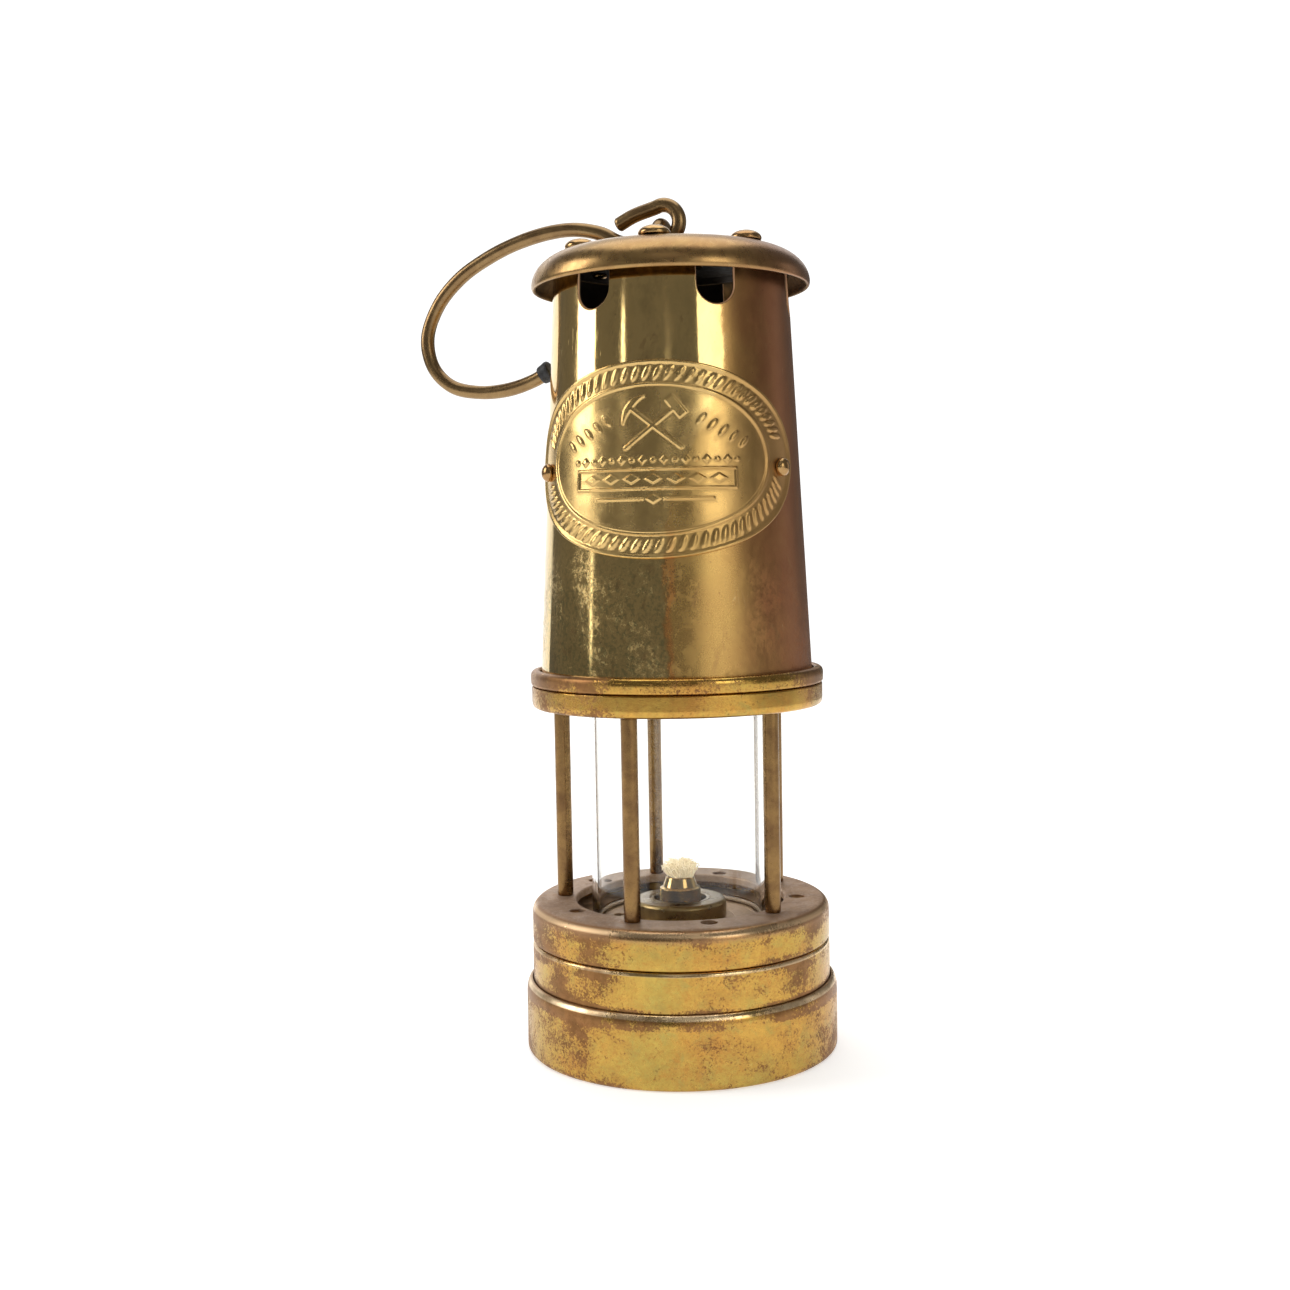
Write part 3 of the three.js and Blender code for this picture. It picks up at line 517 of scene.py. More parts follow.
def dusty_plate_brass():
    """The floor inside the glass: matte, pinkish and dusty."""
    look = Look("plate_brass")
    clouds = look.cloud(0.35, 0.68, 0.14, 6, 0.7)
    colour = look.mix(clouds, (0.42, 0.28, 0.16), (0.33, 0.205, 0.125))
    dust = look.cloud(0.48, 0.7, 0.8, 6, 0.75)
    colour = look.tint(colour, dust, (0.42, 0.33, 0.26), 0.5)
    colour = look.tint(colour, look.cloud(0.63, 0.7, 1.4, 3, 0.6), (0.12, 0.07, 0.045), 0.7)
    look.colour(colour)
    look.rough(look.ramp(dust, 0.0, 1.0, 0.42, 0.75))
    look.set(Metallic=0.6)
    look.bump(look.noise(2.0, 5, 0.7), 0.05)
    return look


def lower_ring_brass():
    """Aged brass on the wall, a browner shoulder with a painted highlight, and a dull dusty flat top."""
    bottom, top = extent("lower_ring")[1:]
    look = aged_brass("lower_ring_brass", [(bottom - 1, bottom + 1.4, 0.07), (top - 5.2, top + 1, 0.07)])
    height = look.height()
    reach = look.reach()
    flat = look.maths("MAXIMUM", look.ramp(height, top - 0.5, top - 0.1), look.ramp(reach, 32, 31.4))
    shoulder = look.ramp(height, top - 4.4, top - 1.8)
    look.feed(look.shader.inputs["Metallic"], look.ramp(flat, 0, 1, 1.0, 0.55))
    earlier = look.current("Base Color")
    bronze = look.mix(look.noise(0.4, 5, 0.65), (0.40, 0.235, 0.12), (0.31, 0.175, 0.10))
    colour = look.mix(look.times(shoulder, 0.85), earlier, bronze)
    # Painted highlight: a pale cream line just under the top of the shoulder.
    colour = look.tint(colour, look.band(top - 1.9, top - 0.8, 0.3), (0.98, 0.72, 0.44), 0.55)
    clouds = look.cloud(0.35, 0.7, 0.2, 6, 0.7)
    matte = look.mix(clouds, (0.46, 0.31, 0.205), (0.34, 0.22, 0.15))
    matte = look.tint(matte, look.cloud(0.5, 0.68, 0.9, 6, 0.78), (0.60, 0.50, 0.41), 0.5)
    look.colour(look.mix(flat, colour, matte))
    rough = look.current("Roughness")
    dull = look.plus(rough, look.times(flat, 0.3))
    smooth = look.times(look.minus(shoulder, flat), 0.05)
    look.rough(look.plus(dull, smooth))
    return look


def burner_brass():
    look = satin_brass("burner_brass")
    height = look.height()
    top = extent("burner_collar")[2]
    dust = look.cloud(0.3, 0.6, 0.9, 6, 0.75)
    upper = look.times(look.ramp(height, top - 0.35, top - 0.05), look.ramp(height, top + 0.4, top + 0.2))
    earlier = look.current("Base Color")
    look.colour(look.mix(look.times(upper, dust), earlier, (0.27, 0.215, 0.155)))
    return look


def holder_brass():
    look = satin_brass("holder_brass")
    # Painted shade: the knurl's grooves are darkened almost to black so that the pattern reads.
    groove = look.recess()
    earlier = look.current("Base Color")
    look.colour(look.mix(look.times(groove, 0.93), earlier, (0.07, 0.05, 0.025)))
    return look


def sooty_brass():
    look = Look("sooty_brass")
    soot = look.noise(0.35, 6, 0.7)
    look.colour(look.mix(soot, (0.022, 0.018, 0.015), (0.06, 0.042, 0.026)))
    look.rough(look.ramp(soot, 0.3, 0.7, 0.55, 0.8))
    look.set(Metallic=0.5)
    look.bump(look.noise(1.5, 4, 0.6), 0.02)
    return look


def woven_wire():
    look = Look("gauze_wire")
    arc_height = look.round_coords(24)
    waves = []
    for direction in ("X", "Y"):
        wave = look.node("ShaderNodeTexWave", bands_direction=direction)
        look.feed(wave.inputs["Vector"], arc_height)
        wave.inputs["Scale"].default_value = 0.55
        wave.inputs["Distortion"].default_value = 0.3
        waves.append(wave.outputs["Fac"])
    crest = look.maths("MAXIMUM", *waves)
    look.colour(look.mix(look.ramp(crest, 0.45, 0.8), (0.012, 0.011, 0.01), (0.10, 0.085, 0.07)))
    look.rough(look.cloud(0.3, 0.7, 0.6, 3, to=(0.4, 0.7)))
    look.set(Metallic=0.8)
    look.bump(crest, 0.25)
    return look


def clear_glass():
    look = Look("glass")
    film = look.noise(0.05, 4, 0.6, (1, 1, 0.3))
    look.colour(look.mix(film, (0.97, 0.985, 0.98), (0.99, 0.995, 0.99)))
    look.rough(look.ramp(film, 0.6, 0.8, 0.0, 0.03))
    look.set(Transmission_Weight=1.0, IOR=1.33)
    return look


def dark_rubber(name, colour, gloss):
    look = Look(name)
    paler_patch = look.cloud(0.45, 0.75, 1.1, 5, 0.65)
    look.colour(look.mix(paler_patch, colour, tuple(2.2 * c + 0.01 for c in colour)))
    look.rough(look.cloud(0.3, 0.7, 0.8, 4, to=(gloss, gloss + 0.2)))
    look.bump(look.noise(4.0, 4, 0.6), 0.06)
    return look


def cotton():
    look = Look("wick_cotton")
    fibres = look.noise(3.0, 5, 0.7, (1, 1, 0.25))
    colour = look.mix(look.ramp(fibres, 0.35, 0.7), (0.98, 0.83, 0.56), (1.0, 0.93, 0.72))
    look.colour(colour)
    # The faint warm emission is a painted glow that lightens the wick; cotton gives off no light of its own.
    look.set(Roughness=0.95, Sheen_Weight=0.2, Emission_Color=(1, 0.86, 0.6, 1), Emission_Strength=0.08)
    look.bump(fibres, 0.15)
    return look


def make_looks():
    cup_top = extent("base_cup")[2]
    neck = extent("upper_ring")[2]
    step = extent("font_shell")[2] - FONT_STEP
    base_bands = [(-1, 1.6, 0.06), (cup_top - 4.2, cup_top + 1, 0.15), (cup_top + 7.5, cup_top + 10.5, 0.07)]
    # Painted highlights: pale lines under the cup's shoulder and at the font's step.
    base_painted_highlights = [(cup_top - 1.4, cup_top - 0.15, 0.85), (step - 0.9, step + 0.1, 0.6)]
    looks = {name: satin_brass(name) for name in ("pillar_brass", "hook_brass", "rivet_brass", "nut_brass")}
    return looks | {
        "base_brass": aged_brass("base_brass", base_bands, painted_highlights=base_painted_highlights),
        "ring_brass": aged_brass("ring_brass", [(neck + 0.3, neck + 6, 0.1)], (0.24, 0.34)),
        "lower_ring_brass": lower_ring_brass(),
        "plate_brass": dusty_plate_brass(),
        "bonnet_brass": polished_brass("bonnet_brass"),
        "embossed_brass": polished_brass("embossed_brass", relief=True),
        "cap_brass": cap_brass(),
        "burner_brass": burner_brass(),
        "holder_brass": holder_brass(),
        "sooty_brass": sooty_brass(),
        "gauze_wire": woven_wire(),
        "glass": clear_glass(),
        "gasket": dark_rubber("gasket", (0.26, 0.19, 0.125), 0.7),
        "sleeve_rubber": dark_rubber("sleeve_rubber", (0.012, 0.012, 0.014), 0.45),
        "wick_cotton": cotton(),
    }


# ---- Measures taken from the frame ----


def radii(node):
    """Distance from the lamp's axis of each corner of a CAD node, in millimetres."""
    return [math.hypot(v.co.x, v.co.y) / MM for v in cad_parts[node].data.vertices]


def extent(node):
    """Outer radius, lowest and highest point of a CAD node that is round about the lamp's axis."""
    low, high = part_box(node)
    return max(radii(node)), low.z / MM, high.z / MM


def bore(node):
    return min(radii(node))


def hollow(node):
    """Inner and outer radius, lowest and highest point of a CAD node that is open along the axis."""
    return bore(node), *extent(node)


def ring_outline(node):
    """The square section of a plain ring."""
    inner, outer, bottom, top = hollow(node)
    return [(inner, bottom), (outer, bottom), (outer, top), (inner, top)]


def centre(node):
    low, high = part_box(node)
    return (low + high) / 2 / MM


CUP_BORE = min(r for r in radii("base_cup") if r > 30)
SHELL_POINTS = [v.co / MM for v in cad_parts["bonnet_shell"].data.vertices]
SHELL_CORNERS = [(math.hypot(p.x, p.y), p.z) for p in SHELL_POINTS]
SHELL_LOW = min(z for _, z in SHELL_CORNERS)
SHELL_HIGH = max(z for _, z in SHELL_CORNERS)
BONNET_FOOT = (max(r for r, z in SHELL_CORNERS if z < SHELL_LOW + 0.1), SHELL_LOW)
BONNET_HEAD = (max(r for r, z in SHELL_CORNERS if z > SHELL_HIGH - 0.1), SHELL_HIGH)

# ---- Mesh helpers ----


def finish_piece(obj, body, slot, node, look=None):
    """Material, shading and the ties of one visible piece to the CAD node that it replaces. The look is
    the one named after the slot, unless another is given."""
    obj.data.materials.clear()
    obj.data.materials.append(LOOKS[look or slot].material)
    shade(obj)
    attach(obj, body)
    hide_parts(node)


def shade(obj, sharp_angle=38):
    """Smooth faces, with edges kept sharp where they really are, and flats kept flat by weighted normals."""
    work = bmesh.new()
    work.from_mesh(obj.data)
    for face in work.faces:
        face.smooth = True
    for edge in work.edges:
        edge.smooth = edge.calc_face_angle(0) < math.radians(sharp_angle)
    work.to_mesh(obj.data)
    work.free()
    weighted = obj.modifiers.new("flats", "WEIGHTED_NORMAL")
    weighted.keep_sharp = True


def mesh_object(name, points, faces):
    """An object made from points in millimetres, with its faces turned outwards."""
    mesh = bpy.data.meshes.new(name)
    mesh.from_pydata([tuple(c * MM for c in p) for p in points], [], faces)
    work = bmesh.new()
    work.from_mesh(mesh)
    bmesh.ops.recalc_face_normals(work, faces=work.faces)
    work.to_mesh(mesh)
    work.free()
    return link(bpy.data.objects.new(name, mesh))


def band_faces(low, high, count):
    """Quads between two closed rows of points that start at those indices."""
    return [(low + k, low + (k + 1) % count, high + (k + 1) % count, high + k) for k in range(count)]


def filleted(points, radius, closed=True, steps=4):
    """The outline with every corner rounded. A point may carry its own radius as a third number."""
    count = len(points)
    made = []
    for i, point in enumerate(points):
        here = np.array(point[:2], float)
        r = point[2] if len(point) > 2 else radius
        if r == 0 or (not closed and i in (0, count - 1)):
            made.append(here)
            continue
        before = np.array(points[i - 1][:2], float)
        after = np.array(points[(i + 1) % count][:2], float)
        gap_in, gap_out = np.linalg.norm(before - here), np.linalg.norm(after - here)
        start = here + (before - here) / gap_in * min(r, gap_in * 0.45)
        end = here + (after - here) / gap_out * min(r, gap_out * 0.45)
        for k in range(steps + 1):
            t = k / steps
            made.append((1 - t) ** 2 * start + 2 * t * (1 - t) * here + t**2 * end)
    return made


def divided(outline, longest, closed):
    """The outline with its long stretches split, so that dents and holes have points to move."""
    pairs = list(zip(outline, outline[1:] + (outline[:1] if closed else [])))
    made = []
    for a, b in pairs:
        parts = max(1, math.ceil(np.linalg.norm(np.array(b) - a) / longest))
        made += [a + (np.array(b) - a) * k / parts for k in range(parts)]
    return made if closed else made + [outline[-1]]


def arc(r, z, radius_r, radius_z, start, end, steps):
    """Outline points of an elliptical arc, without fillets. Angles are degrees from the radial direction."""
    angles = [math.radians(start + (end - start) * i / steps) for i in range(steps + 1)]
    return [(r + radius_r * math.cos(a), z + radius_z * math.sin(a), 0) for a in angles]


def turned(name, points, fillet=0.25, segments=SEGMENTS, longest=6.0, dent=0.0, dent_size=18.0, seed=0):
    """A body of revolution from (radius, height) points, with filleted corners and slight unevenness."""
    on_axis = points[0][0] == 0 and points[-1][0] == 0
    outline = divided(filleted(points, fillet, not on_axis), longest, not on_axis)
    verts, rows = [], []
    for r, z in outline:
        if r < 1e-6:
            rows.append([len(verts)])
            verts.append((0, 0, z))
            continue
        rows.append(list(range(len(verts), len(verts) + segments)))
        for k in range(segments):
            out = toward(360 * k / segments)
            shift = dent * noise.noise(Vector((out.x * r, out.y * r, z)) / dent_size + Vector((seed, 0, 0)))
            verts.append((out.x * (r + shift), out.y * (r + shift), z))
    faces = []
    following = rows[1:] + ([] if on_axis else rows[:1])
    for low, high in zip(rows, following):
        for k in range(segments):
            n = (k + 1) % segments
            corners = [low[k % len(low)], low[n % len(low)], high[n % len(high)], high[k % len(high)]]
            faces.append(tuple(dict.fromkeys(corners)))
    return mesh_object(name, verts, faces)


def turned_piece(node, body, slot, profile, *sizes, look=None, cutters=(), **settings):
    """The visible piece of a CAD node that is round about the lamp's axis."""
    piece = turned(f"{node}_v", profile, *sizes, **settings)
    if cutters:
        cut(piece, cutters)
    finish_piece(piece, body, slot, node, look)


def placed(obj, azimuth, radius, height=0.0):
    """Moves a piece that was made round Z at the origin out along an azimuth."""
    spot = toward(azimuth) * radius + Vector((0, 0, height))
    obj.data.transform(Matrix.Translation(spot * MM) @ Matrix.Rotation(math.radians(azimuth), 4, "Z"))
    return obj


def cut(obj, cutters):
    """Takes the cutters out of the piece and removes them."""
    for cutter in cutters:
        difference = obj.modifiers.new("cut", "BOOLEAN")
        difference.operation = "DIFFERENCE"
        difference.solver = "EXACT"
        difference.object = cutter
    bpy.context.view_layer.update()
    evaluated = obj.evaluated_get(bpy.context.evaluated_depsgraph_get())
    made = bpy.data.meshes.new_from_object(evaluated)
    obj.modifiers.clear()
    obj.data = made
    for cutter in cutters:
        bpy.data.objects.remove(cutter)
    return obj


def joined(name, objects):
    """One object from several, each keeping its own closed surface."""
    work = bmesh.new()
    for obj in objects:
        work.from_mesh(obj.data)
        bpy.data.objects.remove(obj)
    mesh = bpy.data.meshes.new(name)
    work.to_mesh(mesh)
    work.free()
    return link(bpy.data.objects.new(name, mesh))


def drill(radius, low, high, azimuth, circle, rim=0.18):
    """A cutter for a hole through a plate whose top is at high, with a small countersink."""
    under, over = low - 2, high + 0.3
    outline = [(0, under), (radius, under), (radius, high - rim, 0), (radius + rim + 0.3, over, 0), (0, over)]
    return placed(turned("drill", outline, 0, SMALL_SEGMENTS), azimuth, circle)


def smooth_path(points, per_span=8):
    """Points on the centripetal Catmull-Rom curve through the given ones."""
    p = [Vector(q) for q in points]
    p = [2 * p[0] - p[1], *p, 2 * p[-1] - p[-2]]
    made = []
    for i in range(1, len(p) - 2):
        a, b, c, d = p[i - 1 : i + 3]
        d0, d1, d2 = (math.sqrt((v - u).length) for u, v in ((a, b), (b, c), (c, d)))
        t1 = ((b - a) / d0 - (c - a) / (d0 + d1) + (c - b) / d1) * d1
        t2 = ((c - b) / d1 - (d - b) / (d1 + d2) + (d - c) / d2) * d1
        for k in range(per_span):
            t = k / per_span
            hold, leave = 2 * t**3 - 3 * t**2 + 1, t**3 - 2 * t**2 + t
            made.append(hold * b + leave * t1 + (1 - hold) * c + (t**3 - t**2) * t2)
    return made + [p[-2]]


def swept(name, path, radius, sides=20, uneven=0.0):
    """A round bar along the path. radius is one number or one for each point; its ends are closed."""
    count = len(path)
    sizes = radius if isinstance(radius, list) else [radius] * count
    tangents = [(path[min(i + 1, count - 1)] - path[max(i - 1, 0)]).normalized() for i in range(count)]
    side = tangents[0].orthogonal().normalized()
    verts, faces = [], []
    for i, (point, tangent) in enumerate(zip(path, tangents)):
        side = (side - tangent * side.dot(tangent)).normalized()
        other = tangent.cross(side)
        for k in range(sides):
            angle = 2 * math.pi * k / sides
            out = side * math.cos(angle) + other * math.sin(angle)
            size = sizes[i] + uneven * noise.noise((point + out * 2) / 9)
            verts.append(tuple(point + out * size))
        if i:
            faces += band_faces((i - 1) * sides, i * sides, sides)
    faces.append(tuple(range(sides)))
    faces.append(tuple((count - 1) * sides + k for k in range(sides)))
    return mesh_object(name, verts, faces)


def rounded_ends(path, radius, start=0.5, end=0.5, steps=5):
    """The path with extra points at its ends, and a radius for each point, so that the ends are rounded."""
    made, sizes = list(path), [radius] * len(path)
    for share, at_end in ((start, False), (end, True)):
        if not share:
            continue
        tip, inner = (made[-1], made[-2]) if at_end else (made[0], made[1])
        back = (inner - tip).normalized()
        depth = radius * share
        extra = []
        for k in range(steps):
            angle = math.pi / 2 * k / steps
            extra.append((tip + back * depth * (1 - math.cos(angle)), radius - depth * (1 - math.sin(angle))))
        if at_end:
            made[-1:] = [e[0] for e in reversed(extra)]
            sizes[-1:] = [e[1] for e in reversed(extra)]
        else:
            made[:1] = [e[0] for e in extra]
            sizes[:1] = [e[1] for e in extra]
    return made, sizes


# ---- Font ----


def make_base_cup():
    radius, _, top = extent("base_cup")
    lip = min(1.9, radius - CUP_BORE - 0.1)
    profile = [
        (0, 0.35), (radius - 6, 0.35), (radius - 5, 0, 0.6), (radius - 0.8, 0), (radius, 0.8),
        *arc(radius - lip, top - 3.6, lip, 3.6, 0, 90, 8), (CUP_BORE, top), (CUP_BORE, 2.7),
        (0, 2.7),
    ]
    turned_piece("base_cup", "font", "base_brass", profile, 0.5, longest=3, dent=0.09, seed=3)


def make_font_shell():
    radius, bottom, top = extent("font_shell")
    wall = 1.5
    inner, _, _ = extent("font_top_plate")
    neck = inner + 0.1
    step = top - FONT_STEP
    profile = [
        (radius - wall, bottom), (radius, bottom), (radius, step - 0.3, 0.9),
        (radius - 0.9, step + 0.3, 0.9), (neck, step), (neck, top), (neck - wall, top),
        (neck - wall, step - wall), (radius - wall, step - wall),
    ]
    turned_piece("font_shell", "font", "base_brass", profile, 0.3, longest=3, dent=0.07, seed=5)


def make_font_top_plate():
    inner, radius, bottom, top = hollow("font_top_plate")
    grooves = []
    for circle in (36.2, 31.8, 21.6, 15.4):
        grooves += [(circle + 0.35, top, 0), (circle, top - 0.22, 0.1), (circle - 0.35, top, 0)]
    profile = [(inner, bottom), (radius, bottom), (radius, top), *grooves, (inner, top)]
    cutters = [drill(1.5, bottom, top, -100, 18)]
    turned_piece(
        "font_top_plate", "font", "plate_brass", profile, 0.2, longest=3, dent=0.05, seed=6,
        cutters=cutters,
    )


def make_burner_collar():
    inner, radius, bottom, top = hollow("burner_collar")
    profile = [
        (inner, bottom), (radius, bottom), (radius, top - 0.9, 0.3), (radius - 0.7, top, 0.5),
        (radius - 4.2, top, 0), (radius - 4.4, top - 0.25, 0.1), (radius - 4.6, top, 0), (7.4, top),
        (7.4, 38.4), (inner, 38.4),
    ]
    turned_piece("burner_collar", "font", "burner_brass", profile, 0.25, longest=1.5, dent=0.03, seed=8)


# ---- Wick and its holder ----


def make_wick_holder():
    inner, knurl_radius, bottom, top = hollow("wick_holder")
    knurl_low, knurl_high = 38.8, 44.3
    knurl_count, knurl_pitch, knurl_edge = 27, 1.35, 0.42
    profile = [
        (inner, bottom), (5, bottom), (5, knurl_low - 0.2), (knurl_radius - 0.15, knurl_low),
        (knurl_radius - 0.15, knurl_high), (5.1, knurl_high + 0.35, 0.2),
        (4.9, knurl_high + 0.5, 0.15), (4.35, top - 1.2, 0.8), (4.05, top - 0.25, 0.2),
        (3.9, top, 0.15), (inner, top),
    ]
    holder = turned("wick_holder_v", profile, 0.12, segments=216, longest=0.22)
    recess = np.zeros(len(holder.data.vertices), np.float32)
    for i, vertex in enumerate(holder.data.vertices):
        x, y, z = (c / MM for c in vertex.co)
        radius = math.hypot(x, y)
        if radius < knurl_radius - 0.6 or not knurl_low < z < knurl_high:
            continue
        turns = math.atan2(x, -y) / (2 * math.pi) * knurl_count
        rise = (z - knurl_low) / knurl_pitch
        groove = min(abs((turns + rise) % 1 - 0.5), abs((turns - rise) % 1 - 0.5))
        edge = min(1.0, (z - knurl_low) / 0.3, (knurl_high - z) / 0.3)
        grown = radius - 0.55 * edge + 0.7 * min(groove, knurl_edge) / knurl_edge * edge
        recess[i] = 1 - min(1.0, groove / 0.3)
        vertex.co.x *= grown / radius
        vertex.co.y *= grown / radius
    holder.data.attributes.new("recess", "FLOAT", "POINT").data.foreach_set("value", recess)
    finish_piece(holder, "wick_holder", "burner_brass", "wick_holder", look="holder_brass")


def make_wick_tube():
    inner, outer, bottom, top = hollow("wick_tube")
    profile = [
        (inner, bottom), (outer, bottom), (outer, top - 0.3, 0.2),
        (outer - 0.1, top), (inner + 0.1, top), (inner, top - 0.3),
    ]
    turned_piece("wick_tube", "wick_guide", "nut_brass", profile, 0.08, SMALL_SEGMENTS, 3)


def make_wick():
    radius, bottom, top = extent("wick")
    stem = 2.3
    tuft_low = top - 5
    profile = [(0, bottom), (stem, bottom), (stem, tuft_low), (0, tuft_low)]
    core = turned("core", profile, 0.3, 60, 0.4)
    for vertex in core.data.vertices:
        x, y, z = (c / MM for c in vertex.co)
        r = math.hypot(x, y)
        if r > 1.5:
            turn = 6 * math.atan2(x, -y)
            braid = 0.16 * math.sin(turn + 2.2 * z) * math.sin(turn - 2.2 * z)
            grown = r - 0.12 + braid
            vertex.co.x *= grown / r
            vertex.co.y *= grown / r
    rng = np.random.default_rng(11)
    strands = []
    for i in range(300):
        azimuth = rng.uniform(0, 360)
        spread = math.sqrt(rng.uniform(0, 1))
        start = toward(azimuth) * spread * 1.9 + Vector((0, 0, tuft_low - 1.2))
        lean = toward(azimuth + rng.uniform(-50, 50)) * (radius - 0.5) * (0.15 + 0.85 * spread)
        lean *= rng.uniform(0.7, 1)
        height = (top - tuft_low) * (1 - 0.4 * spread**2) * rng.uniform(0.7, 1.0)
        middle = start + lean * rng.uniform(0.35, 0.7) + Vector((0, 0, 1.2 + height * 0.5))
        tip = start + lean * rng.uniform(0.7, 1.0) + Vector((0, 0, 1.2 + height))
        curl = Vector(rng.uniform(-0.9, 0.9, 3))
        points = [start, middle + curl, tip, tip + Vector(rng.uniform(-1.0, 1.0, 3)) - Vector((0, 0, 0.4))]
        for point in points[1:]:
            point.z = min(point.z, top - 0.3)
        thick = rng.uniform(0.12, 0.27)
        path = smooth_path(points, 4)
        sizes = [thick * (1 - 0.55 * k / (len(path) - 1)) for k in range(len(path))]
        strands.append(swept(f"strand_{i}", path, sizes, 6))
    wick = joined("wick_v", [core, *strands])
    finish_piece(wick, "wick", "wick_cotton", "wick")


# ---- Chimney ----


def make_chimney():
    for node in ("lower_gasket", "upper_gasket"):
        turned_piece(node, "chimney", "gasket", ring_outline(node), 0.25, dent=0.04, seed=9)
    glass = turned("glass_cylinder_v", ring_outline("glass_cylinder"), 0.5, 192, 12)
    glass.visible_shadow = False
    finish_piece(glass, "chimney", "glass", "glass_cylinder")


# ---- Frame ----


def make_frame():
    inner, radius, bottom, top = hollow("lower_ring")
    web = top - 2.2
    circle = math.hypot(*centre("pillar_1").xy)
    pillar_azimuths = [azimuth_of(f"pillar_{i + 1}") for i in range(PILLARS)]
    profile = [
        (inner, web), (39, web), (39, bottom), (radius - 0.5, bottom), (radius, bottom + 0.5),
        *arc(radius - 2.9, top - 3.0, 2.9, 3.0, 0, 84, 9), (radius - 3.3, top, 0.5),
        (inner + 0.4, top, 0.3), (inner, top - 0.35, 0.2),
    ]
    holes = [drill(1.95, web, top, azimuth, circle, 0.0) for azimuth in pillar_azimuths]
    holes += [drill(2.25, web, top, 12 + 360 / AIR_HOLES * i, circle) for i in range(AIR_HOLES)]
    turned_piece(
        "lower_ring", "frame", "base_brass", profile, 0.3, longest=3, dent=0.08, seed=12,
        cutters=holes, look="lower_ring_brass",
    )

    inner, radius, bottom, top = hollow("upper_ring")
    web = 99.0
    profile = [
        (inner, bottom), (radius - 1.1, bottom, 0.4), (radius - 0.3, bottom + 0.45, 0.5),
        (radius, bottom + 1.5, 0.6), (radius, top - 0.2, 0.2), (radius - 0.25, top, 0.2),
        (38.2, top), (38.2, web), (inner, web),
    ]
    holes = [drill(1.95, bottom, web, azimuth, circle, 0.0) for azimuth in pillar_azimuths]
    turned_piece(
        "upper_ring", "frame", "base_brass", profile, 0.25, longest=3, dent=0.05, seed=13,
        cutters=holes, look="ring_brass",
    )

    for i, azimuth in enumerate(pillar_azimuths):
        make_pillar(i + 1, azimuth, circle)
        for end in ("lower", "upper"):
            make_nut(f"pillar_nut_{end}_{i + 1}", "frame", 1.9, 17 * i)


def azimuth_of(node):
    middle = centre(node)
    return math.degrees(math.atan2(middle.x, -middle.y))


def make_pillar(number, azimuth, circle):
    node = f"pillar_{number}"
    low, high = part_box(node)
    bottom, top = low.z / MM, high.z / MM
    shoulder_low = extent("lower_ring")[2] + 0.08
    shoulder_high = extent("upper_ring")[1] - 0.08
    radius = (high.x - low.x) / 2 / MM
    thread = 1.6
    profile = [
        (0, bottom), (thread, bottom), (thread, shoulder_low), (radius - 0.1, shoulder_low),
        (radius, shoulder_low + 0.5, 0.4), (radius, shoulder_high - 0.5, 0.4),
        (radius - 0.1, shoulder_high), (thread, shoulder_high), (thread, top), (0, top),
    ]
    pillar = turned(f"{node}_v", profile, 0.15, SMALL_SEGMENTS, 2, dent=0.015, dent_size=9, seed=20 + number)
    finish_piece(placed(pillar, azimuth, circle), "frame", "pillar_brass", node)


def make_nut(node, body, hole, twist):
    """A hexagonal nut with chamfered corners."""
    low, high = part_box(node)
    bottom, top = low.z / MM, high.z / MM
    width = max(high.x - low.x, high.y - low.y) / 2 / MM
    across = (min(high.x - low.x, high.y - low.y) / MM) / 2
    steps = 72
    corner_radius = max(width, across / math.cos(math.radians(30)))
    flat = corner_radius * math.cos(math.radians(30))
    levels = [(bottom, corner_radius - 0.5), (bottom + 0.3, 99), (top - 0.3, 99), (top, corner_radius - 0.5)]
    verts, faces = [], []
    for z, limit in levels:
        for k in range(steps):
            angle = 360 * k / steps
            side = flat / math.cos(math.radians((angle + 30) % 60 - 30))
            out = toward(angle + twist) * min(side, limit)
            verts.append((out.x, out.y, z))
    for z, r in ((top, hole + 0.2), (top - 0.2, hole), (bottom + 0.2, hole), (bottom, hole + 0.2)):
        for k in range(steps):
            out = toward(360 * k / steps + twist) * r
            verts.append((out.x, out.y, z))
    rows = len(verts) // steps
    for row in range(rows):
        faces += band_faces(row * steps, (row + 1) % rows * steps, steps)
    nut = mesh_object(f"{node}_v", verts, faces)
    middle = (low + high) / 2
    nut.data.transform(Matrix.Translation((middle.x, middle.y, 0)))
    finish_piece(nut, body, "nut_brass", node)


# ---- Gauze ----


def make_gauze():
    inner, radius, bottom, top = hollow("gauze_base_ring")
    profile = [(inner, bottom), (27.4, bottom), (27.4, 104.1), (radius, 104.1), (radius, top), (inner, top)]
    turned_piece("gauze_base_ring", "gauze", "nut_brass", profile, 0.2, dent=0.03, seed=31)
    for node, seed in (("gauze_outer", 150), ("gauze_inner", 40)):
        radius, bottom, top = extent(node)
        inner = radius - 0.6
        profile = [
            (0, top - 0.6), (inner, top - 0.6, 0.9), (inner, bottom),
            (radius, bottom), (radius, top, 1.2), (0, top),
        ]
        turned_piece(node, "gauze", "gauze_wire", profile, 0.1, 120, 3, dent=0.3, dent_size=12, seed=seed)
    radius, bottom, top = extent("gauze_cap")
    thin = 0.8
    profile = [
        (0, top - thin), (radius - thin, top - thin), (radius - thin, bottom), (radius, bottom),
        (radius, top, 1.4), (0, top),
    ]
    turned_piece("gauze_cap", "gauze", "nut_brass", profile, 0.3, dent=0.06, seed=33, look="sooty_brass")


# ---- Bonnet ----


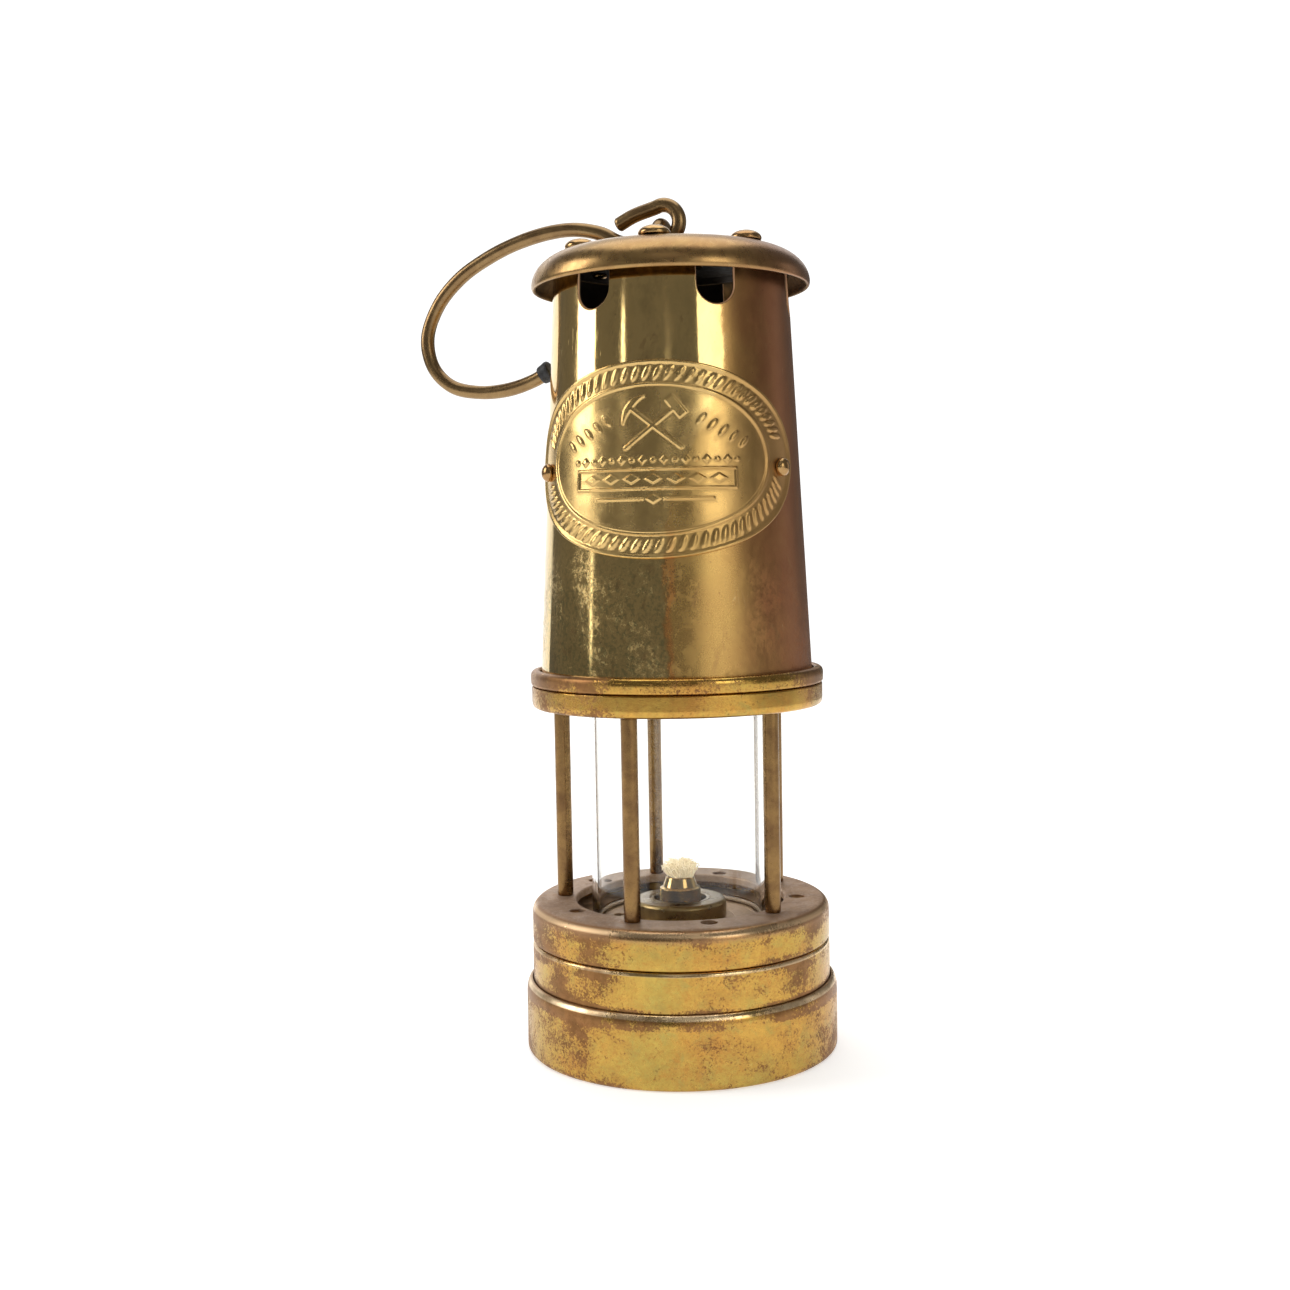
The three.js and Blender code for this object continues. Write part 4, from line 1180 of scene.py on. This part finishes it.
def bonnet_radius(height):
    """Outer radius of the tapered shell, from the corners of its CAD node."""
    low, high = BONNET_FOOT, BONNET_HEAD
    return low[0] + (high[0] - low[0]) * (height - low[1]) / (high[1] - low[1])


def make_bonnet_ring():
    inner, radius, bottom, top = hollow("bonnet_ring")
    shelf = 102.9
    profile = [
        (inner, 102.5), (36.9, 102.5), (36.9, bottom), (37.9, bottom), (37.9, shelf),
        (radius - 0.7, shelf - 0.15, 0.2), (radius - 0.1, shelf + 0.35, 0.3),
        (radius, top - 1.9, 0.6), *arc(radius - 1.6, top - 1.5, 1.55, 1.5, 12, 84, 7),
        (radius - 2.1, top, 0.3), (38.9, top - 0.15, 0.2), (38.5, top - 0.4, 0.2), (38.5, 103.8),
        (inner, 103.8),
    ]
    turned_piece(
        "bonnet_ring", "bonnet", "base_brass", profile, 0.25, segments=200, longest=3, dent=0.05,
        seed=41, look="ring_brass",
    )


def slot_cutter(azimuth, width, bottom, top, chamfer=0.42):
    """A round-bottomed upright slot through the wall, chamfered where it meets the outside of the bonnet."""
    half = width / 2
    outline = [(half, top + 5, 1, 0), (-half, top + 5, -1, 0)]
    for k in range(33):
        angle = math.pi + math.pi * k / 32
        c, s = math.cos(angle), math.sin(angle)
        outline.append((half * c, bottom + half + half * s, c, s))
    count = len(outline)
    verts = []
    for depth, widen in ((None, 0), (chamfer, 0), (-0.05, chamfer + 0.05), (-6, chamfer + 0.05)):
        for x, z, nx, nz in outline:
            px, pz = x + nx * widen, z + nz * widen
            skin = math.sqrt(bonnet_radius(z) ** 2 - x * x)
            verts.append((px, -25 if depth is None else depth - skin, pz))
    faces = [tuple(range(count)), tuple(range(4 * count - 1, 3 * count - 1, -1))]
    for row in range(3):
        faces += band_faces(row * count, (row + 1) * count, count)
    cutter = mesh_object("slot", verts, faces)
    cutter.data.transform(Matrix.Rotation(math.radians(azimuth), 4, "Z"))
    return cutter


def rivet_drill(azimuth, height, radius):
    hole = turned("drill", [(0, 25), (radius, 25), (radius, 45), (0, 45)], 0, SMALL_SEGMENTS)
    turn = Matrix.Rotation(math.radians(azimuth), 4, "Z") @ Matrix.Rotation(math.pi / 2, 4, "X")
    hole.data.transform(Matrix.Translation((0, 0, height * MM)) @ turn)
    return hole


def make_bonnet_shell():
    _, bottom, top = extent("bonnet_shell")
    rows = 34
    heights = [bottom + (top - bottom) * k / rows for k in range(rows + 1)]
    outer = [(bonnet_radius(z), z, 0) for z in heights]
    wall = [(r - 1, z, 0) for r, z, _ in reversed(outer)]
    shell = turned("bonnet_shell_v", outer + wall, 0, 256, 99, dent=0.05, dent_size=26, seed=44)
    slots = [slot_cutter(SLOT_FIRST + 60 * i, SLOT_WIDTH, SLOT_BOTTOM, top) for i in range(SLOT_COUNT)]
    holes = [rivet_drill(azimuth_of(f"plate_rivet_{i}"), centre(f"plate_rivet_{i}").z, 1.4) for i in (1, 2)]
    cut(shell, slots + holes)
    finish_piece(shell, "bonnet", "bonnet_brass", "bonnet_shell")


def segment_distance(x, y, a, b):
    """Distance from points to a straight stroke between a and b."""
    ax, ay = a
    dx, dy = b[0] - ax, b[1] - ay
    along = np.clip(((x - ax) * dx + (y - ay) * dy) / (dx * dx + dy * dy), 0, 1)
    return np.hypot(x - ax - along * dx, y - ay - along * dy)


def frame_distance(x, y, cx, cy, half_width, half_height):
    """Distance from points to the outline of a box."""
    px, py = np.abs(x - cx) - half_width, np.abs(y - cy) - half_height
    return np.abs(np.hypot(np.maximum(px, 0), np.maximum(py, 0)) + np.minimum(np.maximum(px, py), 0))


def plate_relief(x, y, half_width, half_height):
    """Distance to the nearest raised mark of the plate in millimetres, negative inside a mark. The ornament
    is a border of slanted leaves, a crossed pick and hammer between two sprays, and a panel of lozenges."""
    marks = []
    # Border of slanted leaves, in an upper and a lower arc.
    for side in (1, -1):
        for angle in np.arange(16, 165, 4.5):
            a = math.radians(angle) * side
            px, py = 0.868 * half_width * math.cos(a), 0.868 * half_height * math.sin(a)
            tilt = math.atan2(half_height * math.cos(a), -half_width * math.sin(a))
            u = (x - px) * math.cos(tilt) + (y - py) * math.sin(tilt)
            v = -(x - px) * math.sin(tilt) + (y - py) * math.cos(tilt)
            along, across = u * 0.45 + v * 0.893, u * 0.893 - v * 0.45
            marks.append((np.hypot(along / 2.05, across / 0.62) - 1) * 0.62)
    # Crossed handles, the hammer's head and the pick's curved blade.
    for flip in (1, -1):
        a, b = (-7.2 * flip, 2.9), (6.0 * flip, 13.4)
        marks.append(segment_distance(x, y, a, b) - 0.5)
    ux, uy = 13.2 / 16.87, 10.5 / 16.87
    hx, hy = x - 6.0, y - 13.4
    along, across = hx * ux + hy * uy, -hx * uy + hy * ux
    marks.append(np.maximum(np.abs(along) - 1.25, np.abs(across) - 3.0))
    px, py = -6.0 + 7.6 * ux, 13.4 - 7.6 * uy
    bend = np.hypot(x - px, y - py)
    swing = np.degrees(np.arccos(np.clip((-(x - px) * ux + (y - py) * uy) / np.maximum(bend, 1e-6), -1, 1)))
    thickness = 0.85 * np.clip(1.25 - swing / 36, 0.12, 1)
    marks.append(np.maximum(np.abs(bend - 7.8) - thickness, (swing - 36) * 0.13))
    # Sprays of five leaves on both sides.
    for side in (1, -1):
        for k in range(5):
            cx, cy = side * (12.6 + 2.9 * k), 10.2 - 1.5 * k
            lean = side * 0.75
            u = (x - cx) * math.cos(lean) - (y - cy) * math.sin(lean)
            v = (x - cx) * math.sin(lean) + (y - cy) * math.cos(lean)
            marks.append((np.hypot(u / 0.62, v / 1.6) - 1) * 0.62)
    # A row of beads and lozenges, then a framed row of lozenges, then a rule with a diamond in it.
    for k in range(-8, 9):
        cx = 2.75 * k
        if k % 2:
            marks.append((np.abs(x - cx) / 0.95 + np.abs(y + 0.2) / 1.15 - 1) * 0.75)
        else:
            marks.append(np.hypot(x - cx, y + 0.2) - 0.62)
    marks.append(frame_distance(x, y, 0, -5.0, 21.5, 2.5) - 0.28)
    for k in range(-3, 4):
        cx = 5.6 * k
        marks.append((np.abs(x - cx) / 2.1 + np.abs(y + 5.0) / 1.25 - 1) * 0.9)
    for side in (1, -1):
        marks.append(np.maximum(np.abs(x - side * 9) - 6.4, np.abs(y + 10.2) - 0.3))
    marks.append((np.abs(x) / 1.9 + np.abs(y + 10.2) / 1.2 - 1) * 0.9)
    return np.minimum.reduce(marks)


def make_name_plate():
    """The embossed oval, as a fine grid of rings wrapped round the bonnet."""
    low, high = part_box("name_plate")
    height = (low.z + high.z) / 2 / MM
    half_height = (high.z - low.z) / 2 / MM
    azimuth = PLATE_AZIMUTH
    half_width = PLATE_HALF_WIDTH
    mean_radius = bonnet_radius(height)
    rings, spokes = 165, 620
    shares = [*np.linspace(1.0, 0.95, 16)[:-1], *np.linspace(0.95, 0.0, rings)[:-1]]
    theta = np.linspace(0, 2 * math.pi, spokes, endpoint=False)
    verts, depth = [], []

    def add_ring(share, heights, recess):
        x, y = share * half_width * np.cos(theta), share * half_height * np.sin(theta)
        for xi, yi, h, d in zip(x, y, heights, recess):
            out = toward(azimuth + math.degrees(xi / mean_radius)) * (bonnet_radius(height + yi) + h)
            verts.append((out.x, out.y, height + yi))
            depth.append(d)

    back_shares = [0.05, 0.3, 0.5, 0.7, 0.85, 0.95, 0.985]
    for share in back_shares:
        add_ring(share, np.full(spokes, 0.3), np.zeros(spokes))
    for share in shares:
        x, y = share * half_width * np.cos(theta), share * half_height * np.sin(theta)
        marks = plate_relief(x, y, half_width, half_height)
        scale = half_height * 0.9
        rim = (0.972 - share) * scale
        oval = abs(share - 0.752) * scale - 0.34
        marks = np.minimum(marks, oval)
        raised = np.clip(0.5 - marks / 0.45, 0, 1)
        raised = raised * raised * (3 - 2 * raised)
        rim_raised = np.clip(1 - rim / 0.6, 0, 1)
        surface = 0.72 + 0.42 * np.maximum(raised, rim_raised)
        surface += 0.05 * np.array([noise.noise(Vector((a / 6, b / 6, 4))) for a, b in zip(x, y)])
        edge = max(0.0, (share - 0.985) / 0.015)
        surface -= 0.6 * edge * edge
        near = np.minimum(marks, max(rim - 0.2, 0.0) if share < 0.972 else 9)
        add_ring(share, surface, np.clip(1 - np.abs(near - 0.25) / 0.8, 0, 1))
    rows = len(back_shares) + len(shares)
    faces = []
    for row in range(rows - 1):
        faces += band_faces(row * spokes, (row + 1) * spokes, spokes)
    faces.append(tuple(range(spokes)))
    faces.append(tuple((rows - 1) * spokes + k for k in range(spokes)))
    plate = mesh_object("name_plate_v", verts, faces)
    recess = plate.data.attributes.new("recess", "FLOAT", "POINT")
    recess.data.foreach_set("value", np.array(depth, np.float32))
    finish_piece(plate, "bonnet", "bonnet_brass", "name_plate", look="embossed_brass")


def dome_rivet(name, head, base, height, shank, tail_radius, tail_top, tail_height):
    """Head, shank and flattened tail, along Z."""
    profile = [
        (0, tail_top - tail_height), (tail_radius * 0.6, tail_top - tail_height, 0.4),
        (tail_radius, tail_top - tail_height * 0.5, 0.3), (tail_radius, tail_top, 0.1),
        (shank, tail_top), (shank, base), (head - 0.15, base, 0.1),
        (head, base + height * 0.16, 0.25),
        *arc(0, base + height * 0.16, head, height * 0.84, 8, 86, 10), (0, base + height),
    ]
    return turned(name, profile, 0.1, 48, 1.5, dent=0.07, dent_size=3.2, seed=sum(map(ord, name)))


def make_plate_rivets():
    for i in (1, 2):
        node = f"plate_rivet_{i}"
        height = centre(node).z
        base = bonnet_radius(height) + 0.8
        tail_top = bonnet_radius(height) - 1.1
        tip = max(radii(node))
        rivet = dome_rivet(f"{node}_v", 2.5, base, tip - base, 1.1, 1.9, tail_top, 0.9)
        turn = Matrix.Rotation(math.radians(azimuth_of(node)), 4, "Z") @ Matrix.Rotation(math.pi / 2, 4, "X")
        rivet.data.transform(Matrix.Translation((0, 0, height * MM)) @ turn)
        finish_piece(rivet, "bonnet", "rivet_brass", node)


def make_cap():
    rivets = [f"cap_rivet_{i}" for i in range(1, 7)]
    circle = math.hypot(*centre(rivets[0]).xy)
    inner, outer, bottom, top = hollow("top_flange")
    profile = [
        (inner, bottom + 1.3), (28.2, bottom + 1.3), (outer - 1, bottom), (outer, bottom),
        (outer, top - 1.4, 0.6), (27.6, top, 1.2), (inner, top),
    ]
    cutters = [drill(1.9, top - 1.2, top, azimuth_of(r), circle, 0.0) for r in rivets]
    turned_piece(
        "top_flange", "bonnet", "nut_brass", profile, 0.2, longest=3, cutters=cutters,
        look="sooty_brass",
    )

    rim, bottom, top = extent("cap")
    hole = bore("cap")
    thin = 0.9
    drop = top - CAP_SPRING
    floor = top - 1.4
    profile = [
        (hole, floor - thin), (9.3, floor - thin), (10.2, top - thin),
        *arc(CAP_FLAT, CAP_SPRING, rim - CAP_FLAT - thin, drop - thin, 90, 6, 12), (rim - 1.25, 212.5, 0.3),
        (rim - 1.1, 211.95, 0.3), (rim - 0.35, 211.95, 0.3), (rim - 0.02, 212.7, 0.4),
        *arc(CAP_FLAT, CAP_SPRING, rim - CAP_FLAT, drop, 5, 90, 16), (9.9, top, 0.5), (8.9, top - 0.3, 0.4),
        (8.7, floor, 0.2), (hole, floor),
    ]
    cutters = [drill(1.9, top - 2, top, azimuth_of(r), circle, 0.0) for r in rivets]
    turned_piece(
        "cap", "bonnet", "cap_brass", profile, 0.25, segments=220, longest=2.5, dent=0.1,
        dent_size=22, seed=52, cutters=cutters,
    )
    for node in rivets:
        low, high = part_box(node)
        head = (high.x - low.x) / 2 / MM
        base = top + 0.05
        rivet = dome_rivet(f"{node}_v", head, base, high.z / MM - base, 1.6, 2.1, 219.3, 1.1)
        placed(rivet, azimuth_of(node), circle)
        finish_piece(rivet, "bonnet", "rivet_brass", node)


# ---- Swivel and hook ----


def hook_point(out, height, sideways=0.0):
    """A point of the hook's upright plane: out along its azimuth, up, and sideways from the plane."""
    outward = toward(HOOK_AZIMUTH)
    side = outward.cross(Vector((0, 0, 1)))
    return outward * out + side * sideways + Vector((0, 0, height))


def make_swivel():
    disc_top = 222.2
    disc_radius, shank = 8.2, 3.9
    _, bottom, top = extent("swivel_eye")
    wire = 1.9
    stem = turned(
        "stem",
        [
            (0, bottom), (shank, bottom, 0.5), (shank, disc_top - 1.3),
            (disc_radius, disc_top - 1.3), (disc_radius, disc_top - 0.4, 0.35),
            (disc_radius - 0.6, disc_top, 0.4), (0, disc_top),
        ],
        0.15,
        72,
        2,
    )
    arch_radius, offset = 4.5, 2.2
    crown = top - wire - arch_radius
    points = [hook_point(offset, disc_top - 0.6, -arch_radius)]
    for angle in range(180, -1, -18):
        a = math.radians(angle)
        points.append(hook_point(offset, crown + arch_radius * math.sin(a), arch_radius * math.cos(a)))
    points.append(hook_point(offset, disc_top - 0.6, arch_radius))
    arch = swept("arch", smooth_path(points, 5), wire, 24, 0.06)
    eye = joined("swivel_eye_v", [stem, arch])
    finish_piece(eye, "swivel", "hook_brass", "swivel_eye")
    turned_piece("swivel_washer", "swivel", "nut_brass", ring_outline("swivel_washer"), 0.2, 72)
    make_nut("swivel_nut", "swivel", bore("swivel_nut"), 0)


def make_hook():
    (out, height), radius, first, last_angle, steps = (2, 230.6), 4.9, 62, 268, 8
    bend = []
    for k in range(steps + 1):
        a = math.radians(first + (last_angle - first) * k / steps)
        bend.append((out + radius * math.cos(a), height + radius * math.sin(a)))
    route = [hook_point(*p) for p in [*HOOK_FREE_END, *bend, *HOOK_BOW, HOOK_TIP]]
    path, sizes = rounded_ends(smooth_path(route, 8), 2.0, 0.45, 0.2)
    hook = swept("hook_v", path, sizes, 28, 0.07)
    finish_piece(hook, "hook", "hook_brass", "hook")

    last, tip, end = hook_point(*HOOK_BOW[-1]), hook_point(*HOOK_TIP), hook_point(*SLEEVE_END)
    start = last.lerp(tip, 0.55)
    length = (end - start).length
    outer, inner = 3.0, 2.15
    profile = [
        (0, length - 0.9), (inner, length - 0.9), (inner, 0), (outer - 0.5, 0, 0.25),
        (outer - 0.3, 0.6, 0.3), (outer - 0.2, length * 0.5, 0.4), (outer, length - 0.9, 0.4),
        (outer - 0.1, length - 0.3, 0.2), (outer - 0.5, length, 0.3), (0, length),
    ]
    sleeve = turned("hook_sleeve_v", profile, 0.12, 48, 0.5, dent=0.05, dent_size=2.5, seed=61)
    turn = (end - start).to_track_quat("Z", "Y").to_matrix().to_4x4()
    sleeve.data.transform(Matrix.Translation(start * MM) @ turn)
    finish_piece(sleeve, "hook", "sleeve_rubber", "hook_sleeve")


# ---- The scene ----

make_camera()
make_room()
for box_name, box in SOFTBOXES.items():
    make_softbox(box_name, *box)
make_floor()

LOOKS = make_looks()
FONT = (make_base_cup, make_font_shell, make_font_top_plate, make_burner_collar)
WICK = (make_wick_holder, make_wick_tube, make_wick)
BONNET = (make_bonnet_ring, make_bonnet_shell, make_name_plate, make_plate_rivets, make_cap)
for make in (*FONT, *WICK, make_chimney, make_frame, make_gauze, *BONNET, make_swivel, make_hook):
    make()

bpy.context.view_layer.update()
